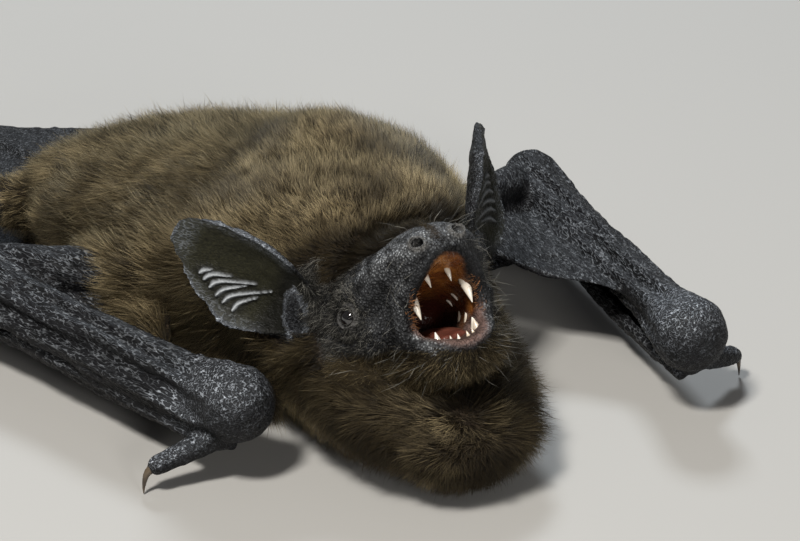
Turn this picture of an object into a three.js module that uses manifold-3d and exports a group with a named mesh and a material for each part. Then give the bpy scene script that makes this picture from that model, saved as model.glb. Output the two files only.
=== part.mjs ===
// A small vesper bat of the pipistrelle kind, life size: it crouches on its belly with elbows out and
// wings folded, lifts its head and gapes. Millimetres, +Z up. The bat faces -Y and its left is +X; the
// origin is the middle of the flat under its belly, on the surface it rests on. Each solid reaches to
// the tips of the coat where the skin is furred.
import * as THREE from "three";
import Module from "manifold-3d";
import { mergeVertices } from "three/addons/utils/BufferGeometryUtils.js";

const wasm = await Module();
wasm.setup();
const DEG = Math.PI / 180;

// ---- Driving dimensions -------------------------------------------------------------------------
const GAP = 0.3; // air left between neighbouring pieces
const ROOM = 0.5; // the same, round a coarse copy of a neighbour
const SHEET = 0.6; // thickness of wing and tail membranes
const NECK_CUT_Y = -9.5; // where the neck ends and the trunk starts

// Torso from throat to rump: [y, height of the middle line, half-width, up to the back, down to the belly].
const TORSO = [
  [-27.4, 3.9, 6.2, 2.9, 4.5],
  [-22.8, 4.9, 8.4, 4.5, 5.7],
  [-15.6, 6.8, 9.3, 8.2, 7.6],
  [-10.4, 8.6, 11.0, 11.0, 9.4],
  [-4, 8.5, 12.4, 9.2, 9.3],
  [3, 7.8, 12.6, 7.7, 8.6],
  [10, 6.9, 12.4, 6.3, 7.7],
  [16.5, 6.0, 11.2, 5.0, 6.6],
  [22.2, 4.8, 7.8, 3.4, 5.0],
];

// Head. Its own frame has the jaw hinge as origin, the nose towards -Y and the crown towards +Z.
const HEAD_AT = [0.4, -18.0, 7.5];
const HEAD_PITCH = 48 * DEG; // nose up
const HEAD_YAW = -7.7 * DEG; // turned to the bat's right
const HEAD_ROLL = 9.3 * DEG; // left side higher
const GAPE = 30 * DEG; // between palate and lower jaw
// From the nape to the nose: [forward, middle, half-width, up, down].
const SKULL = [
  [-4.6, 2.2, 4.4, 3.2, 3.8],
  [-1.8, 1.9, 5.7, 4.5, 5.0],
  [1.2, 1.4, 5.6, 4.7, 5.0],
  [4.0, 0.9, 4.8, 4.1, 4.5],
  [6.2, 0.7, 3.9, 3.5, 3.5],
  [7.7, 0.8, 3.4, 3.0, 2.0],
  [9.2, 0.9, 3.0, 2.4, 1.4],
  [10.5, 1.0, 2.4, 1.6, 0.9],
];
const CHEEK_FULLNESS = 0.5; // 0 rounds the lower half of the head like an egg, 1 makes it square
// From the hinge to the chin, in the jaw's frame: [forward, middle, half-width, up, down].
const JAW = [
  [1.4, -1.7, 4.3, 1.5, 2.2],
  [4.0, -1.5, 3.8, 1.5, 2.1],
  [6.7, -1.1, 3.3, 1.3, 1.9],
  [8.9, -0.7, 2.7, 1.1, 1.5],
];
const JAW_TROUGH = [
  [2.0, 0.4, 2.7, 1.2, 1.3],
  [5.0, 0.3, 2.4, 1.2, 1.2],
  [8.3, 0.3, 1.7, 1.0, 0.8],
];
const EYE = { radius: 0.68, side: 4.3, forward: 3.65, up: 0.62 };
const NOSTRIL = { radius: 0.42, side: 1.4, forward: 10.7, up: 1.4, splay: 35 * DEG };
const MUZZLE_PAD = { at: [1.85, 7.3, 1.5], size: [1.6, 2.6, 1.55] };
const NOSE_RIM = { at: [1.4, 10.2, 1.3], size: [0.85, 0.9, 0.85] };
// The hollow between the jaws: its half-width at each reach from the hinge.
const MOUTH = [[2.2, 1.9], [5, 2.15], [8, 2.05], [12, 2.1]];
const MOUTH_LIFT = 0.55; // how far the hollow cuts into each jaw
const UPPER_CANINE = { side: 1.9, forward: 7.5, root: -0.1, radius: 0.55, length: 2.3 };
const UPPER_INCISOR = { side: 0.72, forward: 8.7, root: 0.1, radius: 0.36, length: 1.25 };
const LOWER_CANINE = { side: 1.4, forward: 8.15, root: -0.8, radius: 0.45, length: 1.75 };
const LOWER_INCISOR = { side: 0.45, forward: 9.3, root: -0.7, radius: 0.4, length: 1.1 };
const CHEEK_TEETH = { upper: [6.2, 5.0, 3.9], lower: [6.8, 5.6, 4.5], radius: 0.5, length: 1.1 };
// The tongue, in the jaw's frame: [forward, middle, half-width, up, down].
const TONGUE = [
  [3.8, 0, 1.2, 0.45, 0.4],
  [5.4, 0, 1.35, 0.5, 0.4],
  [7.2, 0.05, 1.0, 0.35, 0.3],
];
const EAR = { length: 11, width: 6.2, thick: 0.7, cup: 1.1, at: [5.4, 1.7, 1.8] }; // at: side, forward, up
const EAR_LEAN_OUT = 32 * DEG;
const EAR_LEAN_BACK = 6 * DEG;
const EAR_TURN_OUT = 60 * DEG; // how far the opening faces sideways
const TRAGUS = { length: 3.4, width: 1.5, thick: 0.7, cup: 0.3, at: [6.6, 0.2, 1.5] };
const TRAGUS_LEAN_FORWARD = 46 * DEG;
const TRAGUS_TURN_OUT = 50 * DEG;

// Arms, by their joints. The wing is folded, so the finger bones run back along the forearm.
const ARMS = {
  right: {
    side: -1,
    shoulder: [-6.5, -8, 8.4],
    elbow: [-18.5, 9, 6],
    wrist: [-11.6, -18.4, 5.5],
    thumb: [-16.5, -17.2, 1.9],
  },
  left: {
    side: 1,
    shoulder: [6.5, -8, 8.4],
    elbow: [23.3, 3.5, 5.4],
    wrist: [17.9, -24.4, 5.8],
    thumb: [23.2, -21.8, 1.9],
  },
};
const HUMERUS = [2.7, 2.3, 1.95]; // radii from shoulder to elbow
const FOREARM = [2.6, 1.9, 1.65, 1.8, 2.1]; // radii from wrist to elbow
// The folded finger bundle: where it runs along the forearm, and how it thins towards its two ends.
const FINGERS = { wide: 1.25, deep: 1.7, out: 0.9, low: 2.2, from: 0.04, to: 1.12, thin: 0.35, fat: 0.7 };
const THUMB = [1.0, 0.8, 0.62]; // radii from wrist to tip
const THUMB_ROOT = [0.6, 0.6, -2.2]; // from the wrist: outwards, tailward, up
const CLAW = { radius: 0.36, length: 1.3, outward: 0.35 }; // it hooks down to the floor

// Legs, by their joints, for the left side; the right side is the mirror.
const LEG = {
  hip: [5.0, 14.0, 5.2],
  knee: [12.6, 18.6, 5.6],
  ankle: [11.4, 28.2, 1.5],
  toes: [13.6, 31.4, 0.8],
};
const THIGH = [3.4, 2.4, 1.5];
const SHIN = [1.35, 0.95, 0.75];
const SOLE = [0.7, 0.85]; // radii at the ankle and where the toes start
const TOES = { count: 5, radius: 0.4, length: 3.2, spread: 11 * DEG, dip: 0.1 };
const TOE_CLAW = { radius: 0.24, length: 1.3, dip: 0.25 };

// Tail: [x, y, z, radius]; it lies on the floor behind the bat.
const TAIL = [
  [0, 19, 3.6, 2.0],
  [0.2, 25, 1.8, 1.2],
  [-0.6, 33, 0.8, 0.8],
  [-2.6, 42, 0.6, 0.6],
  [-4.6, 50, 0.5, 0.45],
];

// ---- Shapes ---------------------------------------------------------------------------------------
const V = (p) => new THREE.Vector3(...p);

// A closed solid from a three.js geometry.
function solid(geometry) {
  const bare = new THREE.BufferGeometry();
  bare.setAttribute("position", geometry.getAttribute("position"));
  bare.setIndex(geometry.getIndex());
  const merged = mergeVertices(bare, 1e-4);
  return new wasm.Manifold(
    new wasm.Mesh({
      numProp: 3,
      vertProperties: new Float32Array(merged.attributes.position.array),
      triVerts: new Uint32Array(merged.index.array),
    }),
  );
}

// The largest single piece of a solid, as a mesh of that name.
function piece(name, made, colour, roughness = 0.8) {
  const whole = made.decompose().sort((a, b) => b.volume() - a.volume())[0];
  const mesh = whole.getMesh();
  const geometry = new THREE.BufferGeometry();
  geometry.setAttribute("position", new THREE.BufferAttribute(new Float32Array(mesh.vertProperties), 3));
  geometry.setIndex(new THREE.BufferAttribute(new Uint32Array(mesh.triVerts), 1));
  geometry.computeVertexNormals();
  const surface = new THREE.MeshStandardMaterial({ color: colour, roughness, metalness: 0 });
  const shown = new THREE.Mesh(geometry, surface);
  shown.name = name;
  return shown;
}

// A round-ended solid that follows stations [x, y, z, half-width, up, down]; grow thickens it all over,
// and boxy squares its lower half.
function sweep(stations, { sides = 20, steps = 14, cap = 1, rings = 3, boxy = 0, grow = 0 } = {}) {
  const line = new THREE.CatmullRomCurve3(stations.map((s) => V(s.slice(0, 3))), false, "centripetal");
  const size = new THREE.CatmullRomCurve3(stations.map((s) => V(s.slice(3, 6))), false, "centripetal");
  const shape = new THREE.CapsuleGeometry(1, 2, rings, sides, steps);
  const place = shape.getAttribute("position");
  for (let i = 0; i < place.count; i++) {
    const along = THREE.MathUtils.clamp(place.getY(i), -1, 1);
    const over = place.getY(i) - along;
    const t = (along + 1) / 2;
    const centre = line.getPoint(t);
    const forward = line.getTangent(t);
    const across = new THREE.Vector3().crossVectors(forward, new THREE.Vector3(0, 0, 1)).normalize();
    const lift = new THREE.Vector3().crossVectors(across, forward);
    const [wide, up, down] = size.getPoint(t).toArray();
    const height = place.getZ(i) > 0 ? up : down;
    const girth = Math.hypot(place.getX(i), place.getZ(i)) || 1;
    const fuller = place.getZ(i) < 0 ? (Math.abs(place.getX(i)) / girth) ** -boxy : 1;
    const end = Math.min(wide, (up + down) / 2) * cap + grow;
    centre
      .addScaledVector(forward, over * end)
      .addScaledVector(across, place.getX(i) * Math.min(fuller, 9) * (wide + grow))
      .addScaledVector(lift, place.getZ(i) * (height + grow));
    place.setXYZ(i, ...centre);
  }
  return turnedOut(shape);
}

// The mapping above can mirror the capsule, so its faces are put back facing out.
function turnedOut(shape) {
  const made = solid(shape);
  if (made.volume() > 0) return shape;
  const index = shape.getIndex();
  for (let i = 0; i < index.count; i += 3) {
    const first = index.getX(i);
    index.setX(i, index.getX(i + 1));
    index.setX(i + 1, first);
  }
  return shape;
}

// A round limb through points, with one radius for each.
const round = (point, radius) => [...point, radius, radius, radius];
const limb = (points, radii, options) =>
  solid(sweep(points.map((p, i) => round(p, radii[i])), { sides: 12, steps: 6, rings: 2, ...options }));

const lump = (centre, radii, detail = 14) =>
  new THREE.SphereGeometry(1, detail, detail * 0.75).scale(...radii).translate(...centre);

// Stations given as [forward, middle, ...] in a head or jaw frame.
const headStations = (rows) => rows.map(([forward, middle, ...sizes]) => [0, -forward, middle, ...sizes]);

// A wavy membrane of even thickness between an inner and an outer edge, each a smooth curve of points.
function sheet(inner, outer, { along = 12, across = 7, waves = 3, wave = 0.5 } = {}) {
  const inside = new THREE.CatmullRomCurve3(inner.map(V));
  const outside = new THREE.CatmullRomCurve3(outer.map(V));
  const shape = new THREE.BoxGeometry(1, 1, 1, across, along, 1);
  const place = shape.getAttribute("position");
  for (let i = 0; i < place.count; i++) {
    const u = place.getX(i) + 0.5;
    const v = place.getY(i) + 0.5;
    const at = inside.getPoint(v).lerp(outside.getPoint(v), u);
    const ripple = wave * Math.sin(waves * Math.PI * u + 2 * v) * Math.sin(Math.PI * u);
    place.setXYZ(i, at.x, at.y, at.z + ripple + place.getZ(i) * SHEET);
  }
  return solid(turnedOut(shape));
}

const turnFromY = (direction) =>
  new THREE.Quaternion().setFromUnitVectors(new THREE.Vector3(0, 1, 0), V(direction).normalize());

// A cone from its root towards its tip.
function spike(root, direction, radius, length, sides = 8) {
  const cone = new THREE.ConeGeometry(radius, length, sides).translate(0, length / 2, 0);
  return cone.applyQuaternion(turnFromY(direction)).translate(...root);
}

// A cupped leaf such as an ear: base at the origin, tip up +Z, hollow side towards -Y.
function leaf({ length, width, thick, cup }, around = 24, rings = 14) {
  const shape = new THREE.SphereGeometry(1, around, rings);
  const place = shape.getAttribute("position");
  for (let i = 0; i < place.count; i++) {
    const rise = (place.getY(i) + 1) / 2;
    const t = rise > 0.5 && place.getX(i) < 0 ? Math.min(2 * rise - 1, 0.97) : 0;
    const blunted = Math.sqrt((1 - t ** 4) / (1 - t ** 2)); // the front edge is fuller towards the tip
    const across = place.getX(i) * blunted * (0.78 + 0.3 * Math.sin(Math.PI * Math.min(1, rise * 1.15)));
    const bend = cup * across * across - 0.12 * cup * Math.sin(Math.PI * rise);
    place.setXYZ(i, (across * width) / 2, -bend + (place.getZ(i) * thick) / 2, rise * length);
  }
  return shape;
}

const above = solid(new THREE.BoxGeometry(200, 200, 100).translate(0, 0, 50)); // everything over the floor
const slab = (low, high) =>
  solid(new THREE.BoxGeometry(200, high - low, 200).translate(0, (low + high) / 2, 0));

// ---- Head -----------------------------------------------------------------------------------------
const FUR = 0x4a3b26;
const BARE = 0x1d1c1d;
const HORN = 0x2b2622;
const bat = new THREE.Group();
const head = new THREE.Group();
head.position.set(...HEAD_AT);
head.rotation.set(-HEAD_PITCH, -HEAD_ROLL, HEAD_YAW, "ZXY");
bat.add(head);
const jaw = new THREE.Group();
jaw.rotation.x = GAPE;
head.add(jaw);
bat.updateMatrixWorld(true);

const both = (make) => [make(-1), make(1)];
const joined = (solids) => solids.flat().reduce((a, b) => a.add(b));
const cutBy = (made, ...cutters) => cutters.flat().reduce((a, b) => a.subtract(b), made);
// A point of the head's frame given as side, forward, up.
const onHead = ([side, forward, up], s = 1) => [s * side, -forward, up];

// A solid carried from one frame to another.
function carried(made, matrix) {
  const mesh = made.getMesh();
  const geometry = new THREE.BufferGeometry();
  geometry.setAttribute("position", new THREE.BufferAttribute(new Float32Array(mesh.vertProperties), 3));
  geometry.setIndex(new THREE.BufferAttribute(new Uint32Array(mesh.triVerts), 1));
  return solid(geometry.applyMatrix4(matrix));
}
const toJaw = jaw.matrix.clone().invert();

function mouthHollow() {
  const middle = GAPE / 2;
  const rows = MOUTH.map(([reach, wide]) => {
    const opening = reach * Math.sin(middle) + MOUTH_LIFT;
    return [0, -reach * Math.cos(middle), -reach * Math.sin(middle) - 0.3, wide, opening, opening];
  });
  return solid(sweep(rows, { sides: 12, steps: 4, cap: 0.3, rings: 2 }));
}

// The upper head; a grown one is coarser, and cuts the room that its neighbours leave for it.
function upperHead(grow = 0) {
  const detail = grow ? { sides: 12, steps: 6, rings: 2 } : { sides: 17, steps: 11, rings: 3 };
  const skull = solid(sweep(headStations(SKULL), { ...detail, cap: 0.5, boxy: CHEEK_FULLNESS, grow }));
  if (grow) return skull;
  const bump = ({ at, size }, s) => solid(lump(onHead(at, s), size, 8));
  return joined([skull, ...both((s) => [bump(MUZZLE_PAD, s), bump(NOSE_RIM, s)])]);
}

// A tooth of the upper jaw points down, one of the lower jaw up.
const tooth = (s, { side, forward, root, radius, length }, up) =>
  solid(spike([s * side, -forward, root], [s * 0.04 * -up, -0.12, up], radius, length, 6));
const cheekTeeth = (s, rows, side, root, up) =>
  rows.map((forward) => tooth(s, { ...CHEEK_TEETH, side, forward, root }, up));

// A nostril's hole, opening forwards and outwards.
function nostril(s) {
  const out = [s * Math.sin(NOSTRIL.splay), -Math.cos(NOSTRIL.splay), 0.1];
  const bore = new THREE.CylinderGeometry(NOSTRIL.radius, NOSTRIL.radius, 1.6, 8);
  bore.applyQuaternion(turnFromY(out));
  return solid(bore.translate(s * (NOSTRIL.side + 0.25), -NOSTRIL.forward - 0.3, NOSTRIL.up));
}

const eyeAt = (s) => [s * EYE.side, -EYE.forward, EYE.up];
const socket = (s) => solid(lump(eyeAt(s), Array(3).fill(EYE.radius + GAP), 10));

const thicker = ({ thick, width, ...rest }, grow) => ({
  ...rest,
  thick: thick + 2 * grow,
  width: width + 2 * grow,
});

function ear(s, grow = 0) {
  const shape = leaf(thicker(EAR, grow), grow ? 10 : 14, grow ? 7 : 10);
  shape.rotateZ(EAR_TURN_OUT).rotateX(-EAR_LEAN_BACK).rotateY(EAR_LEAN_OUT).translate(...onHead(EAR.at));
  return solid(turnedOut(shape.scale(s, 1, 1)));
}
function tragus(s, grow = 0) {
  const shape = leaf(thicker(TRAGUS, grow), 8, grow ? 4 : 6);
  shape.rotateZ(TRAGUS_TURN_OUT).rotateX(TRAGUS_LEAN_FORWARD).translate(...onHead(TRAGUS.at));
  return solid(turnedOut(shape.scale(s, 1, 1)));
}

const upperTeeth = both((s) => [
  tooth(s, UPPER_INCISOR, -1),
  tooth(s, UPPER_CANINE, -1),
  cheekTeeth(s, CHEEK_TEETH.upper, 2.3, 0.1, -1),
]);
const openHead = cutBy(upperHead(), mouthHollow(), both(nostril), both(socket));
head.add(piece("head", joined([openHead, ...upperTeeth.flat(2)]), FUR));

const lowerTeeth = both((s) => [
  tooth(s, LOWER_CANINE, 1),
  tooth(s, LOWER_INCISOR, 1),
  cheekTeeth(s, CHEEK_TEETH.lower, 2.2, -0.7, 1),
]);
const jawShape = (grow) =>
  solid(sweep(headStations(JAW), { sides: 12, steps: 4, cap: 0.5, rings: 2, grow }));
const trough = solid(sweep(headStations(JAW_TROUGH), { sides: 12, steps: 4, cap: 0.4, rings: 2 }));
const toothedJaw = joined([cutBy(jawShape(0), trough), ...lowerTeeth.flat(2)]);
const jawMade = cutBy(toothedJaw, carried(upperHead(ROOM), toJaw));
jaw.add(piece("lower_jaw", jawMade, FUR));
const tongue = solid(sweep(headStations(TONGUE), { sides: 10, steps: 3, rings: 2 }));
jaw.add(piece("tongue", tongue, 0x5a1f18, 0.4));

for (const [name, { side: s }] of Object.entries(ARMS)) {
  const eye = new THREE.Mesh(
    new THREE.SphereGeometry(EYE.radius, 10, 7),
    new THREE.MeshStandardMaterial({ color: 0x080808, roughness: 0.1, metalness: 0 }),
  );
  eye.name = `eye_${name}`;
  eye.position.set(...eyeAt(s));
  head.add(eye);
  head.add(piece(`ear_${name}`, cutBy(ear(s), upperHead(ROOM), tragus(s, GAP)), BARE));
  head.add(piece(`tragus_${name}`, cutBy(tragus(s), upperHead(ROOM)), BARE));
}

// ---- Torso ----------------------------------------------------------------------------------------
const torso = (grow) =>
  solid(sweep(TORSO.map(([y, ...rest]) => [0, y, ...rest]), { sides: 20, steps: 9, grow }));
const headRoom = [
  carried(upperHead(ROOM), head.matrix),
  carried(jawShape(ROOM), jaw.matrixWorld),
  ...both((s) => carried(ear(s, ROOM + 0.15).add(tragus(s, ROOM)), head.matrix)),
];
const neck = cutBy(torso(0).intersect(slab(-100, NECK_CUT_Y - GAP / 2)), headRoom).intersect(above);
bat.add(piece("neck", neck, FUR));
const trunk = cutBy(torso(0).intersect(slab(NECK_CUT_Y + GAP / 2, 100)), headRoom).intersect(above);
bat.add(piece("trunk", trunk, FUR));
const body = torso(GAP);

const tailLine = TAIL.map(([x, y, z, radius]) => round([x, y, z], radius));
const tail = (grow) => solid(sweep(tailLine, { sides: 8, steps: 7, rings: 2, grow }));
bat.add(piece("tail", cutBy(tail(0), body).intersect(above), BARE));

const between = (a, b, t) => V(a).lerp(V(b), t).toArray();

// ---- One side: leg, arm and folded wing ------------------------------------------------------------
function foot(side, ankle, toes) {
  const heading = Math.atan2(toes[0] - ankle[0], toes[1] - ankle[1]);
  const parts = [limb([ankle, toes], SOLE, { sides: 8, steps: 2 })];
  for (let i = 0; i < TOES.count; i++) {
    const turn = heading + (i - (TOES.count - 1) / 2) * TOES.spread;
    const ahead = [Math.sin(turn), Math.cos(turn), -TOES.dip];
    const toe = new THREE.CapsuleGeometry(TOES.radius, TOES.length, 1, 5, 1);
    toe.translate(0, TOES.length / 2, 0).rotateX(-TOES.dip).rotateZ(-turn).translate(...toes);
    const tip = toes.map((v, k) => v + ahead[k] * TOES.length);
    const claw = spike(tip, [ahead[0], ahead[1], -TOE_CLAW.dip], TOE_CLAW.radius, TOE_CLAW.length, 4);
    parts.push(solid(toe), solid(claw));
  }
  return joined(parts);
}

for (const [name, { side, shoulder, elbow, wrist, thumb }] of Object.entries(ARMS)) {
  const [hip, knee, ankle, toes] = Object.values(LEG).map(([x, y, z]) => [side * x, y, z]);
  const thigh = (grow) => limb([hip, between(hip, knee, 0.5), knee], THIGH, { sides: 9, steps: 4, grow });
  const shin = (grow) => limb([knee, between(knee, ankle, 0.5), ankle], SHIN, { sides: 8, steps: 4, grow });
  const footMade = foot(side, ankle, toes);
  const toesEnd = [toes[0] * 1.15, toes[1] + 3, 0.6];
  const footRoom = limb([ankle, toes, toesEnd], [1.1, 1.5, 2.4], { sides: 8, steps: 3 });
  bat.add(piece(`thigh_${name}`, cutBy(thigh(0), body), FUR));
  bat.add(piece(`shin_${name}`, cutBy(shin(0), thigh(GAP)), BARE));
  bat.add(piece(`foot_${name}`, cutBy(footMade, shin(GAP)).intersect(above), BARE));

  const humerusLine = [shoulder, between(shoulder, elbow, 0.5), elbow];
  const upperArm = (grow) => limb(humerusLine, HUMERUS, { grow });
  const forearmLine = [0, 0.12, 0.5, 0.85, 1].map((t) => between(wrist, elbow, t));
  const forearm = (grow) => limb(forearmLine, FOREARM, { grow });
  const fingerLine = [0, 0.25, 0.5, 0.75, 1].map((t) => {
    const [x, y, z] = between(wrist, elbow, FINGERS.from + t * (FINGERS.to - FINGERS.from));
    const fat = FINGERS.thin + FINGERS.fat * Math.sin(Math.PI * (0.18 + 0.8 * t)) ** 0.7;
    const deep = FINGERS.deep * fat;
    return [x + side * FINGERS.out, y, z - FINGERS.low, FINGERS.wide * fat, deep, deep];
  });
  const fingers = (grow) => solid(sweep(fingerLine, { sides: 8, steps: 5, rings: 2, grow }));
  const root = wrist.map((v, k) => v + (k === 0 ? side : 1) * THUMB_ROOT[k]);
  const thumbLine = [root, between(root, thumb, 0.55), thumb];
  const thumbLimb = (grow) => limb(thumbLine, THUMB, { sides: 8, steps: 3, grow });
  const reach = V(thumb).sub(V(root)).setZ(0).normalize().multiplyScalar(CLAW.outward);
  const hook = new THREE.Vector3(reach.x, reach.y, -1).normalize();
  const clawRoot = V(thumb).addScaledVector(hook, THUMB[2] + GAP - 0.1).toArray();
  const claw = solid(spike(clawRoot, hook.toArray(), CLAW.radius, CLAW.length, 6));
  const armRoom = [forearm(GAP), upperArm(GAP), fingers(GAP)];

  bat.add(piece(`forearm_${name}`, forearm(0), BARE));
  bat.add(piece(`upper_arm_${name}`, cutBy(upperArm(0), body, forearm(GAP)), FUR));
  bat.add(piece(`thumb_${name}`, cutBy(thumbLimb(0), forearm(GAP), body).intersect(above), BARE));
  bat.add(piece(`thumb_claw_${name}`, cutBy(claw, thumbLimb(GAP)).intersect(above), HORN, 0.4));
  const fingersRoom = [forearm(GAP), upperArm(GAP), thumbLimb(GAP), body];
  bat.add(piece(`fingers_${name}`, cutBy(fingers(0), fingersRoom), BARE));

  // The web in front of the elbow, between upper arm and forearm.
  const frontWeb = sheet(
    [between(shoulder, elbow, 0.35), between(shoulder, elbow, 0.7), between(shoulder, elbow, 0.95)],
    [between(wrist, elbow, 0.25), between(wrist, elbow, 0.6), between(wrist, elbow, 0.95)],
    { along: 5, across: 4, wave: 0.3 },
  );
  bat.add(piece(`front_web_${name}`, cutBy(frontWeb, body, ...armRoom), BARE));

  // The wing membrane proper, folded down from the fingers to the flank and the ankle.
  const [ex, ey] = elbow;
  const wingWeb = sheet(
    [[side * 8.5, -5, 5.5], [side * 9.5, 5, 4], [side * 7.5, 15, 3], [side * 11, 25, 2.2]],
    [
      [ex - side * 3, ey - 8, 3],
      [ex + side * 0.6, ey + 1, 2.4],
      [ex - side * 1.5, ey + 8, 2],
      [side * 12.6, 28, 1.4],
    ],
    { along: 7, across: 4 },
  );
  const legRoom = [thigh(GAP), shin(GAP), footRoom];
  bat.add(piece(`wing_web_${name}`, cutBy(wingWeb, body, ...armRoom, ...legRoom).intersect(above), BARE));

  const tailWeb = sheet(
    [[side * 0.6, 20, 2.6], [0.1, 28, 1.4], [-1.2, 37, 0.8], [-3.6, 46, 0.6]],
    [[side * 6, 19, 3.2], [side * 9.7, 24, 2.2], [side * 11, 29, 1.3], [side * 8.6 - 1, 37, 0.7]],
    { along: 6, across: 3, waves: 2, wave: 0.2 },
  );
  bat.add(piece(`tail_web_${name}`, cutBy(tailWeb, body, tail(GAP), ...legRoom).intersect(above), BARE));
}

export default bat;
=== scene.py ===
# A small brown bat, life size, crouched with folded wings, its head raised and its mouth wide open.
# One skin covers the whole animal; eyes, teeth, tongue, claws and the coat are pieces of their own.
# Everything is modelled in millimetres and turned to metres as each piece is finished.
import math

import bmesh
import bpy
import numpy as np
from mathutils import Matrix, Vector, kdtree


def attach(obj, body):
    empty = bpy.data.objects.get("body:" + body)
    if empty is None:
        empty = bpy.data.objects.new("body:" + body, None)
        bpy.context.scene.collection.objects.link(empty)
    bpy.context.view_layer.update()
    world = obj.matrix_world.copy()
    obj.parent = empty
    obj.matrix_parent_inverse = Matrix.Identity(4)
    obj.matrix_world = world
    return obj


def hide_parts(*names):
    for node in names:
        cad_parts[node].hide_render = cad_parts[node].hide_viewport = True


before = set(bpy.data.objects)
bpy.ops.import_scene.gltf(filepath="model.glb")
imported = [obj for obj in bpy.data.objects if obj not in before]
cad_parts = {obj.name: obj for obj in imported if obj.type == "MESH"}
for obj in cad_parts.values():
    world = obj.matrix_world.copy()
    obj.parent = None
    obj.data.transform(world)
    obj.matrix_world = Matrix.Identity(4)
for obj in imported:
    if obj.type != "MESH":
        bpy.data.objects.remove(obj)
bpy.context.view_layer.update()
MM = 0.001

# ---- Camera, studio and floor ----------------------------------------------------------------------
# A long lens looks down on the bat's right front quarter from close by. The floor is a plain pale
# sheet, lit by one soft lamp from the upper left, a cooler one behind and a weak one in front.
VIEW_AZIMUTH = math.radians(-30)
VIEW_HEIGHT = math.radians(24)
VIEW_DISTANCE = 240
LENS_PIXELS = 3960  # the focal length, in pixels of the picture
PICTURE_WIDTH, PICTURE_HEIGHT = 800, 541
MOUTH_CENTRE = Vector((0, -27, 11))
MOUTH_PIXEL = (470, 333)
SENSOR = 36


def linked(name, data):
    """A new object in the scene."""
    made = bpy.data.objects.new(name, data)
    bpy.context.scene.collection.objects.link(made)
    return made


look_back = Vector((
    math.sin(VIEW_AZIMUTH) * math.cos(VIEW_HEIGHT),
    -math.cos(VIEW_AZIMUTH) * math.cos(VIEW_HEIGHT),
    math.sin(VIEW_HEIGHT),
))
look_right = Vector((math.cos(VIEW_AZIMUTH), math.sin(VIEW_AZIMUTH), 0))
look_up = look_back.cross(look_right)
mm_per_pixel = VIEW_DISTANCE / LENS_PIXELS
off_right = (MOUTH_PIXEL[0] - PICTURE_WIDTH / 2) * mm_per_pixel
off_up = (PICTURE_HEIGHT / 2 - MOUTH_PIXEL[1]) * mm_per_pixel
camera_data = bpy.data.cameras.new("camera")
camera_data.sensor_width = SENSOR
camera_data.lens = LENS_PIXELS / PICTURE_WIDTH * SENSOR
camera_data.clip_start = 0.01
camera = linked("camera", camera_data)
camera.location = (
    MOUTH_CENTRE - off_right * look_right - off_up * look_up + VIEW_DISTANCE * look_back
) * MM
camera.rotation_euler = (-look_back).to_track_quat("-Z", "Y").to_euler()
bpy.context.scene.camera = camera

BODY_CENTRE = Vector((0, -8, 8))
LAMPS = {  # place, side length in mm, watts, colour
    "key_lamp": ((-190, -150, 340), 60, 1.9, (1.0, 0.97, 0.92)),
    "rim_lamp": ((120, 210, 260), 80, 0.7, (0.84, 0.92, 1.0)),
    "front_lamp": ((-60, -340, 110), 60, 0.36, (1.0, 0.98, 0.95)),
}
for name, (place, side, watts, colour) in LAMPS.items():
    lamp_data = bpy.data.lights.new(name, "AREA")
    lamp_data.size = side * MM
    lamp_data.energy = watts
    lamp_data.color = colour
    lamp = linked(name, lamp_data)
    lamp.location = Vector(place) * MM
    lamp.rotation_euler = (BODY_CENTRE - Vector(place)).to_track_quat("-Z", "Y").to_euler()

world = bpy.data.worlds.new("studio")
bpy.context.scene.world = world
world.use_nodes = True
sky = world.node_tree.nodes["Background"].inputs
sky["Color"].default_value = (0.93, 0.95, 1.0, 1)
sky["Strength"].default_value = 0.1
bpy.context.scene.view_settings.view_transform = "Standard"


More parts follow.
